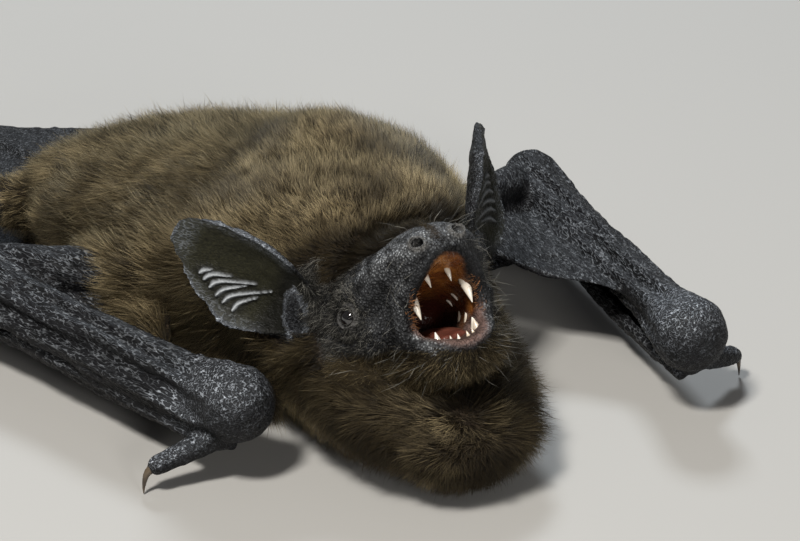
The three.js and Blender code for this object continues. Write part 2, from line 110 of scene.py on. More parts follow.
class Socket:
    """One output of a shader node, so that shader maths reads as plain arithmetic."""

    def __init__(self, tree, out):
        self.tree = tree
        self.out = out

    def node(self, kind, values=(), output=0, **settings):
        made = self.tree.nodes.new(kind)
        for key, value in settings.items():
            if key == "stops":
                ramp = made.color_ramp.elements
                while len(ramp) < len(value):
                    ramp.new(0.5)
                for stop, (place, colour) in zip(ramp, value):
                    stop.position = place
                    stop.color = (*colour, 1)
            else:
                setattr(made, key, value)
        for key, value in dict(values).items():
            if isinstance(value, Socket):
                self.tree.links.new(value.out, made.inputs[key])
            elif isinstance(value, tuple) and len(value) == 3 and made.inputs[key].type == "RGBA":
                made.inputs[key].default_value = (*value, 1)
            else:
                made.inputs[key].default_value = value
        return Socket(self.tree, made.outputs[output])

    def maths(self, operation, other=0.0, first=None):
        values = {0: self if first is None else first, 1: other}
        return self.node("ShaderNodeMath", values, operation=operation)

    def __add__(self, other):
        return self.maths("ADD", other)

    def __sub__(self, other):
        return self.maths("SUBTRACT", other)

    def __rsub__(self, other):
        return self.maths("SUBTRACT", self, first=other)

    def __mul__(self, other):
        return self.maths("MULTIPLY", other)

    def __pow__(self, other):
        return self.maths("POWER", other)

    __radd__ = __add__
    __rmul__ = __mul__

    def clipped(self, low, high):
        """0 at low, 1 at high and straight between."""
        values = {"Value": self, "From Min": low, "From Max": high}
        return self.node("ShaderNodeMapRange", values, clamp=True)

    def mix(self, first, second):
        """A colour that goes from first to second as this number goes from 0 to 1."""
        values = {"Factor": self, 6: first, 7: second}  # 6 and 7 are the node's two colours
        return self.node("ShaderNodeMix", values, output=2, data_type="RGBA", clamp_factor=True)

    def noise(self, scale, detail=3.0, output="Fac"):
        values = {"Vector": self, "Scale": scale, "Detail": detail}
        return self.node("ShaderNodeTexNoise", values, output=output)

    def cells(self, scale):
        """Distance from the middle of the nearest of many cells."""
        return self.node("ShaderNodeTexVoronoi", {"Vector": self, "Scale": scale}, output="Distance")

    def read(self, name, output="Fac"):
        """A number, or a vector, that the mesh holds under a name."""
        return self.node("ShaderNodeAttribute", output=output, attribute_name=name)


def material(name, roughness=0.5, **fixed):
    """A new material, its shader and the object coordinates that its patterns read."""
    made = bpy.data.materials.new(name)
    made.use_nodes = True
    tree = made.node_tree
    shader = tree.nodes["Principled BSDF"]
    shader.inputs["Roughness"].default_value = roughness
    for key, value in fixed.items():
        shader.inputs[key.replace("_", " ")].default_value = value
    place = Socket(tree, tree.nodes.new("ShaderNodeTexCoord").outputs["Object"])
    return made, shader, place


def wire(shader, **links):
    """Feeds the shader's sockets; bump is a pattern and how deep it goes, in metres."""
    for key, value in links.items():
        if key == "bump":
            height, depth = value
            value = height.node("ShaderNodeBump", {"Height": height, "Distance": depth, "Strength": 1.0})
            key = "Normal"
        value.tree.links.new(value.out, shader.inputs[key.replace("_", " ")])


floor_shape = bmesh.new()
bmesh.ops.create_grid(floor_shape, x_segments=1, y_segments=1, size=3)
floor_mesh = bpy.data.meshes.new("floor")
floor_shape.to_mesh(floor_mesh)
floor_shape.free()
floor = linked("floor", floor_mesh)
floor_paint, _, _ = material("floor_paper", roughness=0.8, Base_Color=(0.42, 0.41, 0.39, 1))
floor_mesh.materials.append(floor_paint)

# ---- Clay: the bare body under the coat --------------------------------------------------------------
# Muscle and bone are roughed out as overlapping closed lumps, each following a few stations. They are
# fused into one even mesh afterwards. Where the skin is furred they lie inside the coat by its depth.
CLAY = bmesh.new()
BELLY_COAT = 1.3
BACK_COAT = 2.1
# From throat to rump: distance along, height of the middle, half-width, up, down. They reach out to
# the tips of the coat.
TORSO = [
    (-27.4, 3.9, 6.2, 2.9, 4.5),
    (-22.8, 4.9, 8.4, 4.5, 5.7),
    (-15.6, 6.8, 9.3, 8.2, 7.6),
    (-10.4, 8.6, 11.0, 11.0, 9.4),
    (-4.0, 8.5, 12.4, 9.2, 9.3),
    (3.0, 7.8, 12.6, 7.7, 8.6),
    (10.0, 6.9, 12.4, 6.3, 7.7),
    (16.5, 6.0, 11.2, 5.0, 6.6),
    (22.2, 4.8, 7.8, 3.4, 5.0),
]


def along(rows, t):
    """A smooth curve through rows of numbers, at t from 0 to 1."""
    rows = np.asarray(rows, float)
    padded = np.vstack([2 * rows[0] - rows[1], rows, 2 * rows[-1] - rows[-2]])
    spot = min(max(t, 0), 1) * (len(rows) - 1)
    i = min(int(spot), len(rows) - 2)
    f = spot - i
    a, b, c, d = padded[i : i + 4]
    return 0.5 * (2 * b + (c - a) * f + (2 * a - 5 * b + 4 * c - d) * f**2 + (3 * b - a - 3 * c + d) * f**3)


ROUND_END = 0.2  # the share of a lump's rings in each of its rounded ends


def sweep(stations, sides=24, rings=22, cap=1.0, matrix=None, into=None, boxy=0.0):
    """A closed round-ended lump that follows stations (x, y, z, half-width, up, down)."""
    shape = CLAY if into is None else into
    made = bmesh.ops.create_uvsphere(shape, u_segments=sides, v_segments=rings, radius=1)["verts"]
    for v in made:
        s = math.acos(max(-1, min(1, v.co.z))) / math.pi
        if s < ROUND_END:
            turn = s / ROUND_END * math.pi / 2
            t, over, girth = 0, -math.cos(turn), math.sin(turn)
        elif s > 1 - ROUND_END:
            turn = (1 - s) / ROUND_END * math.pi / 2
            t, over, girth = 1, math.cos(turn), math.sin(turn)
        else:
            t, over, girth = (s - ROUND_END) / (1 - 2 * ROUND_END), 0, 1
        flat = math.hypot(v.co.x, v.co.y) or 1
        side, lift = v.co.x / flat * girth, v.co.y / flat * girth
        row = along(stations, t)
        ahead = Vector(along(stations, t + 0.02)[:3] - along(stations, t - 0.02)[:3]).normalized()
        across = ahead.cross(Vector((0, 0, 1))).normalized()
        upward = across.cross(ahead)
        wide, up, down = row[3:6]
        fuller = max(abs(v.co.x / flat), 0.05) ** -boxy if lift < 0 else 1
        end = min(wide, (up + down) / 2) * cap
        v.co = (
            Vector(row[:3]) + ahead * over * end + across * side * fuller * wide
            + upward * lift * (up if lift > 0 else down)
        )
    if matrix is not None:
        bmesh.ops.transform(shape, matrix=matrix, verts=made)


def round_line(points, radii):
    return [(*p, r, r, r) for p, r in zip(points, radii)]


sweep([
    (0, y, middle, half - BACK_COAT, up - BACK_COAT, down - BELLY_COAT)
    for y, middle, half, up, down in TORSO
], sides=40, rings=40)

# The arms, from shoulder to wrist. The folded fingers run back along the forearm as three rods in a
# fold of membrane, and the thumb hangs down from the wrist.
ARMS = {
    "right": {
        "side": -1,
        "shoulder": (-6.5, -8, 8.4),
        "elbow": (-18.5, 9, 6),
        "wrist": (-11.6, -18.4, 5.5),
        "thumb": (-16.5, -17.2, 1.9),
    },
    "left": {
        "side": 1,
        "shoulder": (6.5, -8, 8.4),
        "elbow": (23.3, 3.5, 5.4),
        "wrist": (17.9, -24.4, 5.8),
        "thumb": (23.2, -21.8, 1.9),
    },
}
FOREARM = [(0, 2.5), (0.07, 2.2), (0.2, 1.65), (0.5, 1.55), (0.8, 1.6), (1, 1.95)]
HUMERUS = [2.0, 1.7, 1.4]
FINGER_RODS = [(1.75, -1.1, 0.72), (1.1, -2.6, 0.75), (-0.2, -3.2, 0.62)]  # out, up and radius
FINGER_RUN = (0.03, 1.08)  # from wrist to elbow
FINGER_GIRTH = [(0, 0.9), (0.3, 1), (0.7, 0.8), (1, 0.5)]
THUMB = [1.0, 0.78, 0.66]
THUMB_ROOT = Vector((0.6, 0.6, -2.2))  # from the wrist
WEB = 0.5  # thickness of the membranes


def between(a, b, t):
    return Vector(a).lerp(Vector(b), t)


def bone(a, b, radii, middle=0.5, **rings):
    """A round limb from a to b, with its radius at a, at its middle and at b."""
    sweep(round_line([a, between(a, b, middle), b], radii), **rings)


def web(inner, outer, waves=3, wave=0.4):
    """A wavy membrane between two edges, each given by a few points."""
    made = bmesh.ops.create_grid(CLAY, x_segments=16, y_segments=20, size=1)["verts"]
    for v in made:
        u, w = (v.co.x + 1) / 2, (v.co.y + 1) / 2
        spot = Vector(along(inner, w)).lerp(Vector(along(outer, w)), u)
        spot.z += wave * math.sin(waves * math.pi * u + 2 * w) * math.sin(math.pi * u) - WEB / 2
        v.co = spot
    faces = list({f for v in made for f in v.link_faces})
    bmesh.ops.solidify(CLAY, geom=faces, thickness=WEB)


for arm in ARMS.values():
    side, shoulder, elbow, wrist = arm["side"], arm["shoulder"], arm["elbow"], arm["wrist"]
    bone(shoulder, elbow, HUMERUS)
    sweep(round_line([between(wrist, elbow, t) for t, _ in FOREARM], [r for _, r in FOREARM]), rings=30)
    for out, up, radius in FINGER_RODS:
        line = [
            between(wrist, elbow, np.interp(t, (0, 1), FINGER_RUN)) + Vector((side * out, 0, up))
            for t, _ in FINGER_GIRTH
        ]
        sweep(round_line(line, [radius * girth for _, girth in FINGER_GIRTH]), sides=14, rings=26)
    root = Vector(wrist) + Vector((side * THUMB_ROOT.x, THUMB_ROOT.y, THUMB_ROOT.z))
    bone(root, arm["thumb"], THUMB, middle=0.55, sides=16, rings=16)
    inner, outer = ([between(end, elbow, t) for t in (0.2, 0.6, 0.97)] for end in (shoulder, wrist))
    web(inner, outer, wave=0.3)
    ex, ey = elbow[:2]
    web(
        [(side * 7.5, -5, 5.5), (side * 8.5, 5, 4), (side * 7.5, 15, 3), (side * 11, 25, 2.2)],
        [
            (ex - side * 3, ey - 8, 3),
            (ex + side * 0.6, ey + 1, 2.6),
            (ex - side * 1.5, ey + 8, 2.2),
            (side * 12.2, 27, 1.6),
        ],
    )

# Legs folded beside the rump, with five toes each, and the tail lying on the floor in its membrane.
LEG = [(5.0, 14.0, 5.2), (12.6, 18.6, 5.6), (11.4, 28.2, 1.5), (13.6, 31.4, 0.8)]  # hip, knee, ankle, toes
THIGH, SHIN, SOLE, TOE = [2.5, 1.9, 1.25], [1.3, 0.9, 0.72], [0.7, 0.85], [0.5, 0.42, 0.36]  # radii
TOE_SPREAD = math.radians(11)
TOE_LENGTH = 3.2
TOE_ARCH = Vector((0, 0, 0.15))
TAIL = [
    (0, 19, 3.6, 2.0),
    (0.2, 25, 1.8, 1.2),
    (-0.6, 33, 0.8, 0.8),
    (-2.6, 42, 0.6, 0.6),
    (-4.6, 50, 0.5, 0.45),
]
toe_tips = []
sweep([(x, y, z, r, r, r) for x, y, z, r in TAIL], sides=14, rings=40)
for side in (-1, 1):
    hip, knee, ankle, toes = (Vector((side * x, y, z)) for x, y, z in LEG)
    bone(hip, knee, THIGH, sides=16)
    bone(knee, ankle, SHIN, sides=16)
    sweep(round_line([ankle, toes], SOLE), sides=14, rings=12)
    heading = math.atan2(toes.x - ankle.x, toes.y - ankle.y)
    for i in range(5):
        turn = heading + (i - 2) * TOE_SPREAD
        ahead = Vector((math.sin(turn), math.cos(turn), -0.1))
        tip = toes + ahead * TOE_LENGTH
        toe_tips.append((tip, ahead))
        sweep(round_line([toes, between(toes, tip, 0.5) + TOE_ARCH, tip], TOE), sides=10, rings=14)
    web(
        [(side * 0.6, 20, 2.6), (0.1, 28, 1.4), (-1.2, 37, 0.8), (-3.6, 46, 0.7)],
        [(side * 6, 19, 3.2), (side * 9.7, 24, 2.2), (side * 11, 29, 1.3), (side * 8.6 - 1, 37, 0.7)],
        waves=2,
        wave=0.2,
    )

# The head is modelled in its own frame: x to its left, y to the nape, z to the crown, from the jaw hinge.
HEAD = (
    Matrix.Translation((0.4, -18.0, 7.5))
    @ Matrix.Rotation(math.radians(-7.7), 4, "Z")
    @ Matrix.Rotation(math.radians(-48), 4, "X")
    @ Matrix.Rotation(math.radians(-9.3), 4, "Y")
)
GAPE = math.radians(30)
JAW = HEAD @ Matrix.Rotation(GAPE, 4, "X")
# From the nape to the nose: forward, middle, half-width, up, down.
SKULL = [
    (-4.6, 2.2, 3.4, 2.2, 2.8),
    (-1.8, 1.9, 4.9, 3.5, 4.2),
    (1.2, 1.4, 5.0, 3.9, 4.5),
    (4.0, 0.9, 4.45, 3.6, 4.2),
    (6.2, 0.7, 3.6, 3.2, 3.3),
    (7.7, 0.8, 3.15, 2.75, 1.9),
    (9.2, 0.9, 2.8, 2.2, 1.3),
    (10.4, 1.0, 2.25, 1.45, 0.85),
]
LOWER_JAW = [
    (1.4, -1.7, 4.0, 1.5, 1.9),
    (4.0, -1.5, 3.6, 1.5, 1.8),
    (6.7, -1.1, 3.1, 1.25, 1.6),
    (8.85, -0.7, 2.5, 1.0, 1.25),
]
# Lumps on the face, for both sides, as lines of side, forward, up and radius.
MUZZLE_PAD = [(1.55, 9.5, 1.25, 0.9), (2.2, 7.8, 1.35, 1.4), (2.95, 5.9, 1.1, 1.5), (3.4, 4.4, 0.6, 1.2)]
NOSTRIL_RIM = [(1.2, 9.6, 1.3, 0.8), (1.38, 10.35, 1.35, 0.62)]
UPPER_LIP = [
    (0, 10.5, 0.35, 0.5),
    (1.45, 9.8, 0.1, 0.55),
    (2.3, 8.2, -0.5, 0.65),
    (2.65, 6.9, -1.25, 0.75),
    (2.6, 6.2, -2.6, 0.75),
]
BROW = [(3.3, 5.6, 1.75, 0.5), (3.9, 4.2, 1.9, 0.65), (4.2, 2.8, 1.6, 0.7)]
CHEEK = [(3.5, 4.6, -1.0, 1.1), (3.6, 2.8, -1.5, 1.4), (3.4, 1.0, -1.6, 1.6)]
LOWER_LIP = [
    (0, 9.4, -0.2, 0.5),
    (1.45, 8.9, 0.0, 0.55),
    (2.35, 7.3, 0.3, 0.6),
    (2.7, 5.4, 0.45, 0.65),
    (2.85, 3.6, 0.3, 0.7),
]
CHIN = [(0, 8.6, -1.2, 0.9), (0.8, 8.3, -1.1, 0.85)]
EAR_ROOT = [(4.6, 1.6, 1.2, 1.3), (5.4, 1.3, 1.9, 1.0), (5.6, 0.2, 1.2, 1.0)]


def head_rows(rows):
    return [(0, -forward, middle, *sizes) for forward, middle, *sizes in rows]


def head_lines(rows, matrix):
    """One lump on each side of the head."""
    for s in (-1, 1):
        line = [(s * side, -forward, up, r, r, r) for side, forward, up, r in rows]
        sweep(line, sides=20, rings=24, matrix=matrix)


sweep(head_rows(SKULL), sides=32, rings=32, cap=0.5, boxy=0.45, matrix=HEAD)
sweep(head_rows(LOWER_JAW), sides=28, rings=20, cap=0.5, matrix=JAW)
# The nape fills the angle between the crown and the shoulders.
NAPE = [3.5, 4.6, 5.6]
nape = [HEAD @ Vector((0, -3, 1.6)), HEAD @ Vector((0, 0.5, 3.2)), Vector((0, -9, 12.6))]
sweep(round_line(nape, NAPE))
for rows in (MUZZLE_PAD, NOSTRIL_RIM, UPPER_LIP, BROW, CHEEK, EAR_ROOT):
    head_lines(rows, HEAD)
for rows in (LOWER_LIP, CHIN):
    head_lines(rows, JAW)

# Each ear is a thin cupped leaf, with a small blunt tragus before its opening.
EAR = {"length": 11, "width": 6.2, "thick": 0.62, "cup": 1.1}
TRAGUS = {"length": 3.4, "width": 1.5, "thick": 0.6, "cup": 0.3}


def leaf_share(across, rise):
    """How wide a leaf is at a rise from 0 to 1, as a share of its width; the front of its tip is blunt."""
    middle = 0.78 + 0.3 * np.sin(math.pi * np.minimum(1, rise * 1.15))
    upper = np.clip(np.abs(2 * rise - 1), 0, 0.97) * (rise > 0.5)
    blunt = np.sqrt((1 - upper**4) / (1 - upper**2))
    return middle * np.where(across < 0, blunt, 1)


def leaf_point(u, rise, depth, sizes):
    """A point of the leaf: u from -1 to 1 across, rise from 0 to 1 along, depth -1 inside to 1 outside."""
    across = u * leaf_share(u, rise)
    bend = sizes["cup"] * across * across - 0.12 * sizes["cup"] * math.sin(math.pi * rise)
    flat = math.copysign(abs(depth) ** 0.4, depth)
    return Vector((across * sizes["width"] / 2, -bend + flat * sizes["thick"] / 2, rise * sizes["length"]))


def leaf(sizes, matrix):
    made = bmesh.ops.create_uvsphere(CLAY, u_segments=40, v_segments=30, radius=1)["verts"]
    for v in made:
        v.co = leaf_point(v.co.x, (v.co.z + 1) / 2, v.co.y, sizes)
    bmesh.ops.transform(CLAY, matrix=matrix, verts=made)


def set_on_head(s, root, *turns):
    """The place of a part on side s of the head: its root, and its turns in degrees about axes."""
    place = HEAD @ Matrix.Diagonal((s, 1, 1, 1)) @ Matrix.Translation(root)
    for degrees, axis in turns:
        place = place @ Matrix.Rotation(math.radians(degrees), 4, axis)
    return place


ear_place = {s: set_on_head(s, (5.4, -1.7, 1.8), (32, "Y"), (-6, "X"), (60, "Z")) for s in (-1, 1)}
tragus_place = {s: set_on_head(s, (6.6, -0.2, 1.5), (46, "X"), (50, "Z")) for s in (-1, 1)}
for s in (-1, 1):
    leaf(EAR, ear_place[s])
    leaf(TRAGUS, tragus_place[s])

# ---- Skin: one surface over all the clay -------------------------------------------------------------
# The lumps are fused into one closed surface and softened, and the mouth is hollowed out of it. Lids,
# nostrils, the folds of ears and arms are then raised on it, and stored numbers guide its colours.
VOXEL = 0.2


def as_object(name, shape):
    """A new object from a closed bmesh, with its faces turned outwards."""
    bmesh.ops.recalc_face_normals(shape, faces=shape.faces)
    mesh = bpy.data.meshes.new(name)
    shape.to_mesh(mesh)
    shape.free()
    return linked(name, mesh)


def changed(made, *modifiers):
    """Applies modifiers, each a kind and its settings, to an object's mesh."""
    for kind, settings in modifiers:
        modifier = made.modifiers.new(kind.lower(), kind)
        for key, value in settings.items():
            setattr(modifier, key, value)
    graph = bpy.context.evaluated_depsgraph_get()
    old = made.data
    made.data = bpy.data.meshes.new_from_object(made.evaluated_get(graph))
    made.modifiers.clear()
    bpy.data.meshes.remove(old)


skin = as_object("skin", CLAY)
changed(skin, ("REMESH", {"mode": "VOXEL", "voxel_size": VOXEL}))

# The open mouth is a wedge between the palate and the tongue: reach from the hinge, half-width, and how
# far it cuts into the upper and the lower jaw.
MOUTH = [(1.6, 1.9, 0.3, 0.6), (5, 2.15, 0.35, 0.5), (8, 2.0, 0.3, 0.0), (12.5, 1.95, 0.0, -0.3)]
hollow_shape = bmesh.new()
hollow_rows = []
for reach, wide, above, below in MOUTH:
    opening = reach * math.sin(GAPE / 2)
    hollow_rows.append((0, -reach * math.cos(GAPE / 2), -opening, wide, opening + above, opening + below))
sweep(hollow_rows, sides=40, rings=30, cap=0.3, matrix=HEAD, into=hollow_shape)
hollow = as_object("mouth_hollow", hollow_shape)
changed(
    skin,
    ("BOOLEAN", {"object": hollow, "operation": "DIFFERENCE", "solver": "EXACT"}),
    ("REMESH", {"mode": "VOXEL", "voxel_size": VOXEL}),
)
bpy.data.objects.remove(hollow)


def points(made):
    """The vertices of an object's mesh as an array."""
    co = np.empty(len(made.data.vertices) * 3, np.float32)
    made.data.vertices.foreach_get("co", co)
    return co.reshape(-1, 3).astype(float)


def put_points(made, co):
    made.data.vertices.foreach_set("co", co.astype(np.float32).ravel())
    made.data.update()


def within(matrix, co):
    """Points in the frame of a matrix."""
    inverse = np.array(matrix.inverted())
    return co @ inverse[:3, :3].T + inverse[:3, 3]


def beyond(matrix, co):
    """Points of a matrix's frame, back in the world."""
    place = np.array(matrix)
    return co @ place[:3, :3].T + place[:3, 3]


def head_spot(co):
    """How far points lie to the left, forward and up in the head's own frame."""
    head = within(HEAD, co)
    return head[:, 0], -head[:, 1], head[:, 2]


def step(x, low, high):
    """0 at low, 1 at high and smooth between."""
    t = np.clip((x - low) / (high - low), 0, 1)
    return t * t * (3 - 2 * t)


def bell(x, centre, width):
    return np.exp(-(((x - centre) / width) ** 2))


def group(made, name, weights):
    """A vertex group with one weight for each vertex, in steps of a tenth."""
    weighted = made.vertex_groups.new(name=name)
    tenth = np.round(weights * 10).astype(int)
    for level in range(1, 11):
        chosen = np.nonzero(tenth == level)[0]
        weighted.add(chosen.tolist(), level / 10, "REPLACE")


# Muscles run into each other under the coat, so the clay is softened most there.
def body_share(co):
    """1 on the trunk, neck and crown, 0 on the face, ears, wings, feet and tail."""
    x, y = np.abs(co[:, 0]), co[:, 1]
    side, forward, up = head_spot(co)
    face = step(forward, 0.5, 3.0) * step(np.abs(side), 9, 8) * step(up, -7, -5.5)
    wide = 8.0 + 2.5 * step(y, -16, -8)
    trunk = step(x, wide + 1.5, wide - 1) * step(y, 22, 18) * step(y, -26, -24)
    ears = np.zeros(len(co))
    for place in ear_place.values():
        ear_x, ear_y, ear_z = within(place, co).T
        near = step(np.abs(ear_x), 4.5, 3.6) * step(np.abs(ear_y), 2.5, 1.8) * step(ear_z, 0.5, 1.5)
        ears = np.maximum(ears, near)
    return trunk * (1 - face) * (1 - ears)


group(skin, "under_coat", body_share(points(skin)))
changed(
    skin,
    ("SMOOTH", {"factor": 0.6, "iterations": 4}),
    ("SMOOTH", {"factor": 0.7, "iterations": 30, "vertex_group": "under_coat"}),
)

# The face is cut finer, and the nostrils and eyelids finer again.
EYE = Vector((4.3, -3.65, 0.62))
EYE_RADIUS = 0.72
EYE_OUT = Vector((0.86, -0.46, 0.2)).normalized()
NOSTRIL = Vector((1.36, -10.75, 1.38))
NOSTRIL_OUT = Vector((math.sin(math.radians(38)), -math.cos(math.radians(38)), 0.18)).normalized()


def finer(made, chosen):
    """Halves the faces that chosen picks by their middles."""
    shape = bmesh.new()
    shape.from_mesh(made.data)
    centres = np.array([f.calc_center_median() for f in shape.faces])
    picked = np.nonzero(chosen(centres))[0]
    shape.faces.ensure_lookup_table()
    edges = list({e for i in picked for e in shape.faces[i].edges})
    bmesh.ops.subdivide_edges(shape, edges=edges, cuts=1, use_grid_fill=True)
    shape.to_mesh(made.data)
    shape.free()


def near_face(co):
    side, forward, up = head_spot(co)
    return (forward > 2.2) & (np.abs(side) < 6) & (up > -8) & (up < 6)


def from_pair(spot, co):
    """Distance from the closer of a pair of spots, one on each side of the head."""
    return np.min([np.linalg.norm(within(set_on_head(s, spot), co), axis=1) for s in (-1, 1)], axis=0)


def near_openings(co):
    return (from_pair(EYE, co) < 1.5) | (from_pair(NOSTRIL, co) < 1.1)


def round_axis(co, centre, out):
    """How far points lie along an axis from a centre, from the axis and from the centre."""
    offset = co - np.array(centre)
    height = offset @ np.array(out)
    ring = np.linalg.norm(offset - np.outer(height, out), axis=1)
    return height, ring, np.linalg.norm(offset, axis=1)


finer(skin, near_face)
finer(skin, near_openings)
head = within(HEAD, points(skin))
for s in (-1, 1):
    mirrored = head * (s, 1, 1)
    # Eye: a socket, two lids hugging the ball, a furrow and a soft outer ring.
    height, ring, away = round_axis(mirrored, EYE, EYE_OUT)
    lids = 0.52 * bell(ring, 0.69, 0.14) + 0.34 * step(ring, 0.6, 1.1) - 0.35 * step(ring, 0.62, 0.47)
    lids += 0.07 * bell(ring, 1.22, 0.12) - 0.09 * bell(ring, 0.95, 0.1)
    near = step(ring, 1.6, 0.9) * (height > -1.2) * (away < 2)
    mirrored += np.outer(near * (lids - height), EYE_OUT)
    # Nostril: a short tube with a raised rim.
    height, ring, away = round_axis(mirrored, NOSTRIL, NOSTRIL_OUT)
    near = step(ring, 0.75, 0.55) * (height > -1.5) * (away < 1.6)
    rim = 0.16 * bell(ring, 0.42, 0.12) - 1.1 * step(ring, 0.36, 0.2)
    mirrored += np.outer(near * rim, NOSTRIL_OUT)
    head = mirrored * (s, 1, 1)
put_points(skin, beyond(HEAD, head))
changed(skin, ("SMOOTH", {"factor": 0.3, "iterations": 1}))

# Loose skin gathers in long folds that run from the wrist along the forearm and the folded fingers.
ARM_FOLDS = 9
ARM_FOLD_DEPTH = 0.26


def normals_of(made):
    out = np.empty(len(made.data.vertices) * 3, np.float32)
    made.data.vertices.foreach_get("normal", out)
    return out.reshape(-1, 3).astype(float)


def along_forearm(arm, co):
    """The forearm's direction and length, and how far along it from the wrist points lie."""
    wrist = np.array(arm["wrist"])
    axis = np.array(arm["elbow"]) - wrist
    length = np.linalg.norm(axis)
    axis /= length
    return axis, length, (co - wrist) @ axis


co = points(skin)
normals = normals_of(skin)
for arm in ARMS.values():
    axis, length, run = along_forearm(arm, co)
    off = co - np.array(arm["wrist"]) - np.outer(run, axis)
    away = np.linalg.norm(off, axis=1)
    near = step(away, 5.5, 4.2) * step(run, -1.0, 3.0) * step(run, length + 1, length - 3)
    out = arm["side"] * (off[:, 0] - off[:, 1] * axis[0] / axis[1])
    turn = np.arctan2(off[:, 2] + 1.2, out)
    wander = 0.5 * np.sin(0.35 * run + 1.0) + 0.25 * np.sin(0.9 * run)
    folds = np.sin(ARM_FOLDS * turn + wander) + 0.6 * np.sin(1.7 * ARM_FOLDS * turn - 0.3 * run + 2.0)
    raised = np.abs(folds) ** 0.7 * np.sign(folds) - 0.6
    co += normals * (ARM_FOLD_DEPTH * near * raised * 0.6)[:, None]
put_points(skin, co)

# Each ear has a rolled, wrinkled rim and six curved folds across its inner side, each given by three
# points across and along the ear.
EAR_FOLDS = [
    [(1.4, 8.1), (1.1, 7.9), (0.85, 7.5)],
    [(1.6, 7.65), (1.1, 7.35), (0.5, 6.2)],
    [(1.85, 7.1), (1.2, 6.7), (0.1, 4.6)],
    [(2.1, 6.5), (1.5, 6.2), (0.55, 5.1)],
    [(2.2, 5.9), (1.5, 5.5), (-0.05, 3.5)],
    [(2.3, 5.1), (1.7, 4.95), (0.8, 4.1)],
]
FOLD_HEIGHT = 0.26
FOLD_WIDTH = 0.13
RIM_HEIGHT = 0.16
RIM_WRINKLE = {"spacing": 0.4, "height": 0.03}
# The left ear has lower folds, and its painted highlights are fainter, to paint it into shade.
EAR_FOLDS_AND_HIGHLIGHTS = {-1: 1.0, 1: 0.3}  # the left ear is the plainer and darker one


def ear_edge(across, rise):
    """0 along the middle of the ear and 1 at its rim."""
    round_tip = np.sqrt(np.clip(1 - (2 * rise - 1) ** 2, 0.0004, 1))
    return np.abs(across) / (EAR["width"] / 2 * leaf_share(across, rise) * round_tip)


def ear_parts(place, co, normals):
    """The points in the ear's frame, and how much each lies on the ear, its inner side and its rim."""
    ear = within(place, co)
    x, y, z = ear.T
    near = (np.abs(x) < 4) & (y > -2.2) & (y < 0.6) & (z > 0.3) & (z < 11.6)
    facing_in = y - within(place, co + normals)[:, 1]
    edge = ear_edge(x, np.clip(z / EAR["length"], 0, 1))
    rim = np.maximum(step(edge, 0.86, 0.94), step(z, 10.5, 10.9)) * near
    return ear, near * 1.0, step(facing_in, 0.0, 0.5) * near, rim


def fold_crest(ear, width):
    """1 on the crests of the ear's folds."""
    crest = np.zeros(len(ear))
    for fold in EAR_FOLDS:
        for t in np.linspace(0, 1, 70):
            x, z = along(fold, t)
            girth = width * (0.3 + 0.7 * math.sin(math.pi * t**0.6))
            crest = np.maximum(crest, bell(np.hypot(ear[:, 0] - x, ear[:, 2] - z), 0, girth))
    return crest


def on_tragus(tragus, inset=0.0):
    """1 on the tragus, from points in its own frame."""
    x, y, z = tragus.T
    rise = np.clip(z / TRAGUS["length"], 0, 1)
    outline = np.sqrt(np.clip(1 - (2 * rise - 1) ** 2, 0, 1)) * TRAGUS["width"] / 2
    flat = (np.abs(x) < outline + 0.2 - inset) & (np.abs(y + 0.05) < 0.46)
    return 1.0 * (flat & (z > 0.1) & (z < 3.6 - inset))


def near_ears(co):
    return sum(ear_parts(place, co, 0 * co)[1] for place in ear_place.values()) > 0


finer(skin, near_ears)
co = points(skin)
for s, place in ear_place.items():
    ear, near, inner, rim = ear_parts(place, co, normals_of(skin))
    run = 2 * math.pi * (ear[:, 2] + 0.3 * ear[:, 0]) / RIM_WRINKLE["spacing"]
    raised = RIM_HEIGHT * rim * inner
    raised += RIM_WRINKLE["height"] * rim * np.sin(run + 2 * np.sin(3 * ear[:, 2]))
    raised += EAR_FOLDS_AND_HIGHLIGHTS[s] * FOLD_HEIGHT * fold_crest(ear, FOLD_WIDTH) * inner
    ear[:, 1] -= raised * near
    co = np.where(near[:, None] > 0, beyond(place, ear), co)
put_points(skin, co)

# Fur covers the trunk and the head down to a line over the eyes and muzzle and another under the jaw.
BROW_LINE = (1, 2.2, 3.3, 4.5, 5.8, 7.4, 8.7, 9.5), (5.6, 4.5, 3.7, 2.9, 2.3, 1.9, 1.3, 0.2)  # forward, side
JAW_LINE = (-1.0, 0.6, 2.3, 3.4, 4.8, 5.9, 7.5), (1.2, 1.2, 2.8, 3.5, 4.6, 5.7, 6.6)  # down, forward


def mouth_ring(co):
    """1 on the wall of the open mouth, growing outwards."""
    side, forward, up = head_spot(co)
    reach = forward / math.cos(GAPE / 2)
    opening = reach * math.sin(GAPE / 2)
    _, wide, above, below = (np.interp(reach, [m[0] for m in MOUTH], column) for column in zip(*MOUTH))
    lift = up + opening
    tall = np.where(lift > 0, opening + above, opening + below)
    return np.where(reach > 0.6, np.hypot(side / wide, lift / tall), 3)


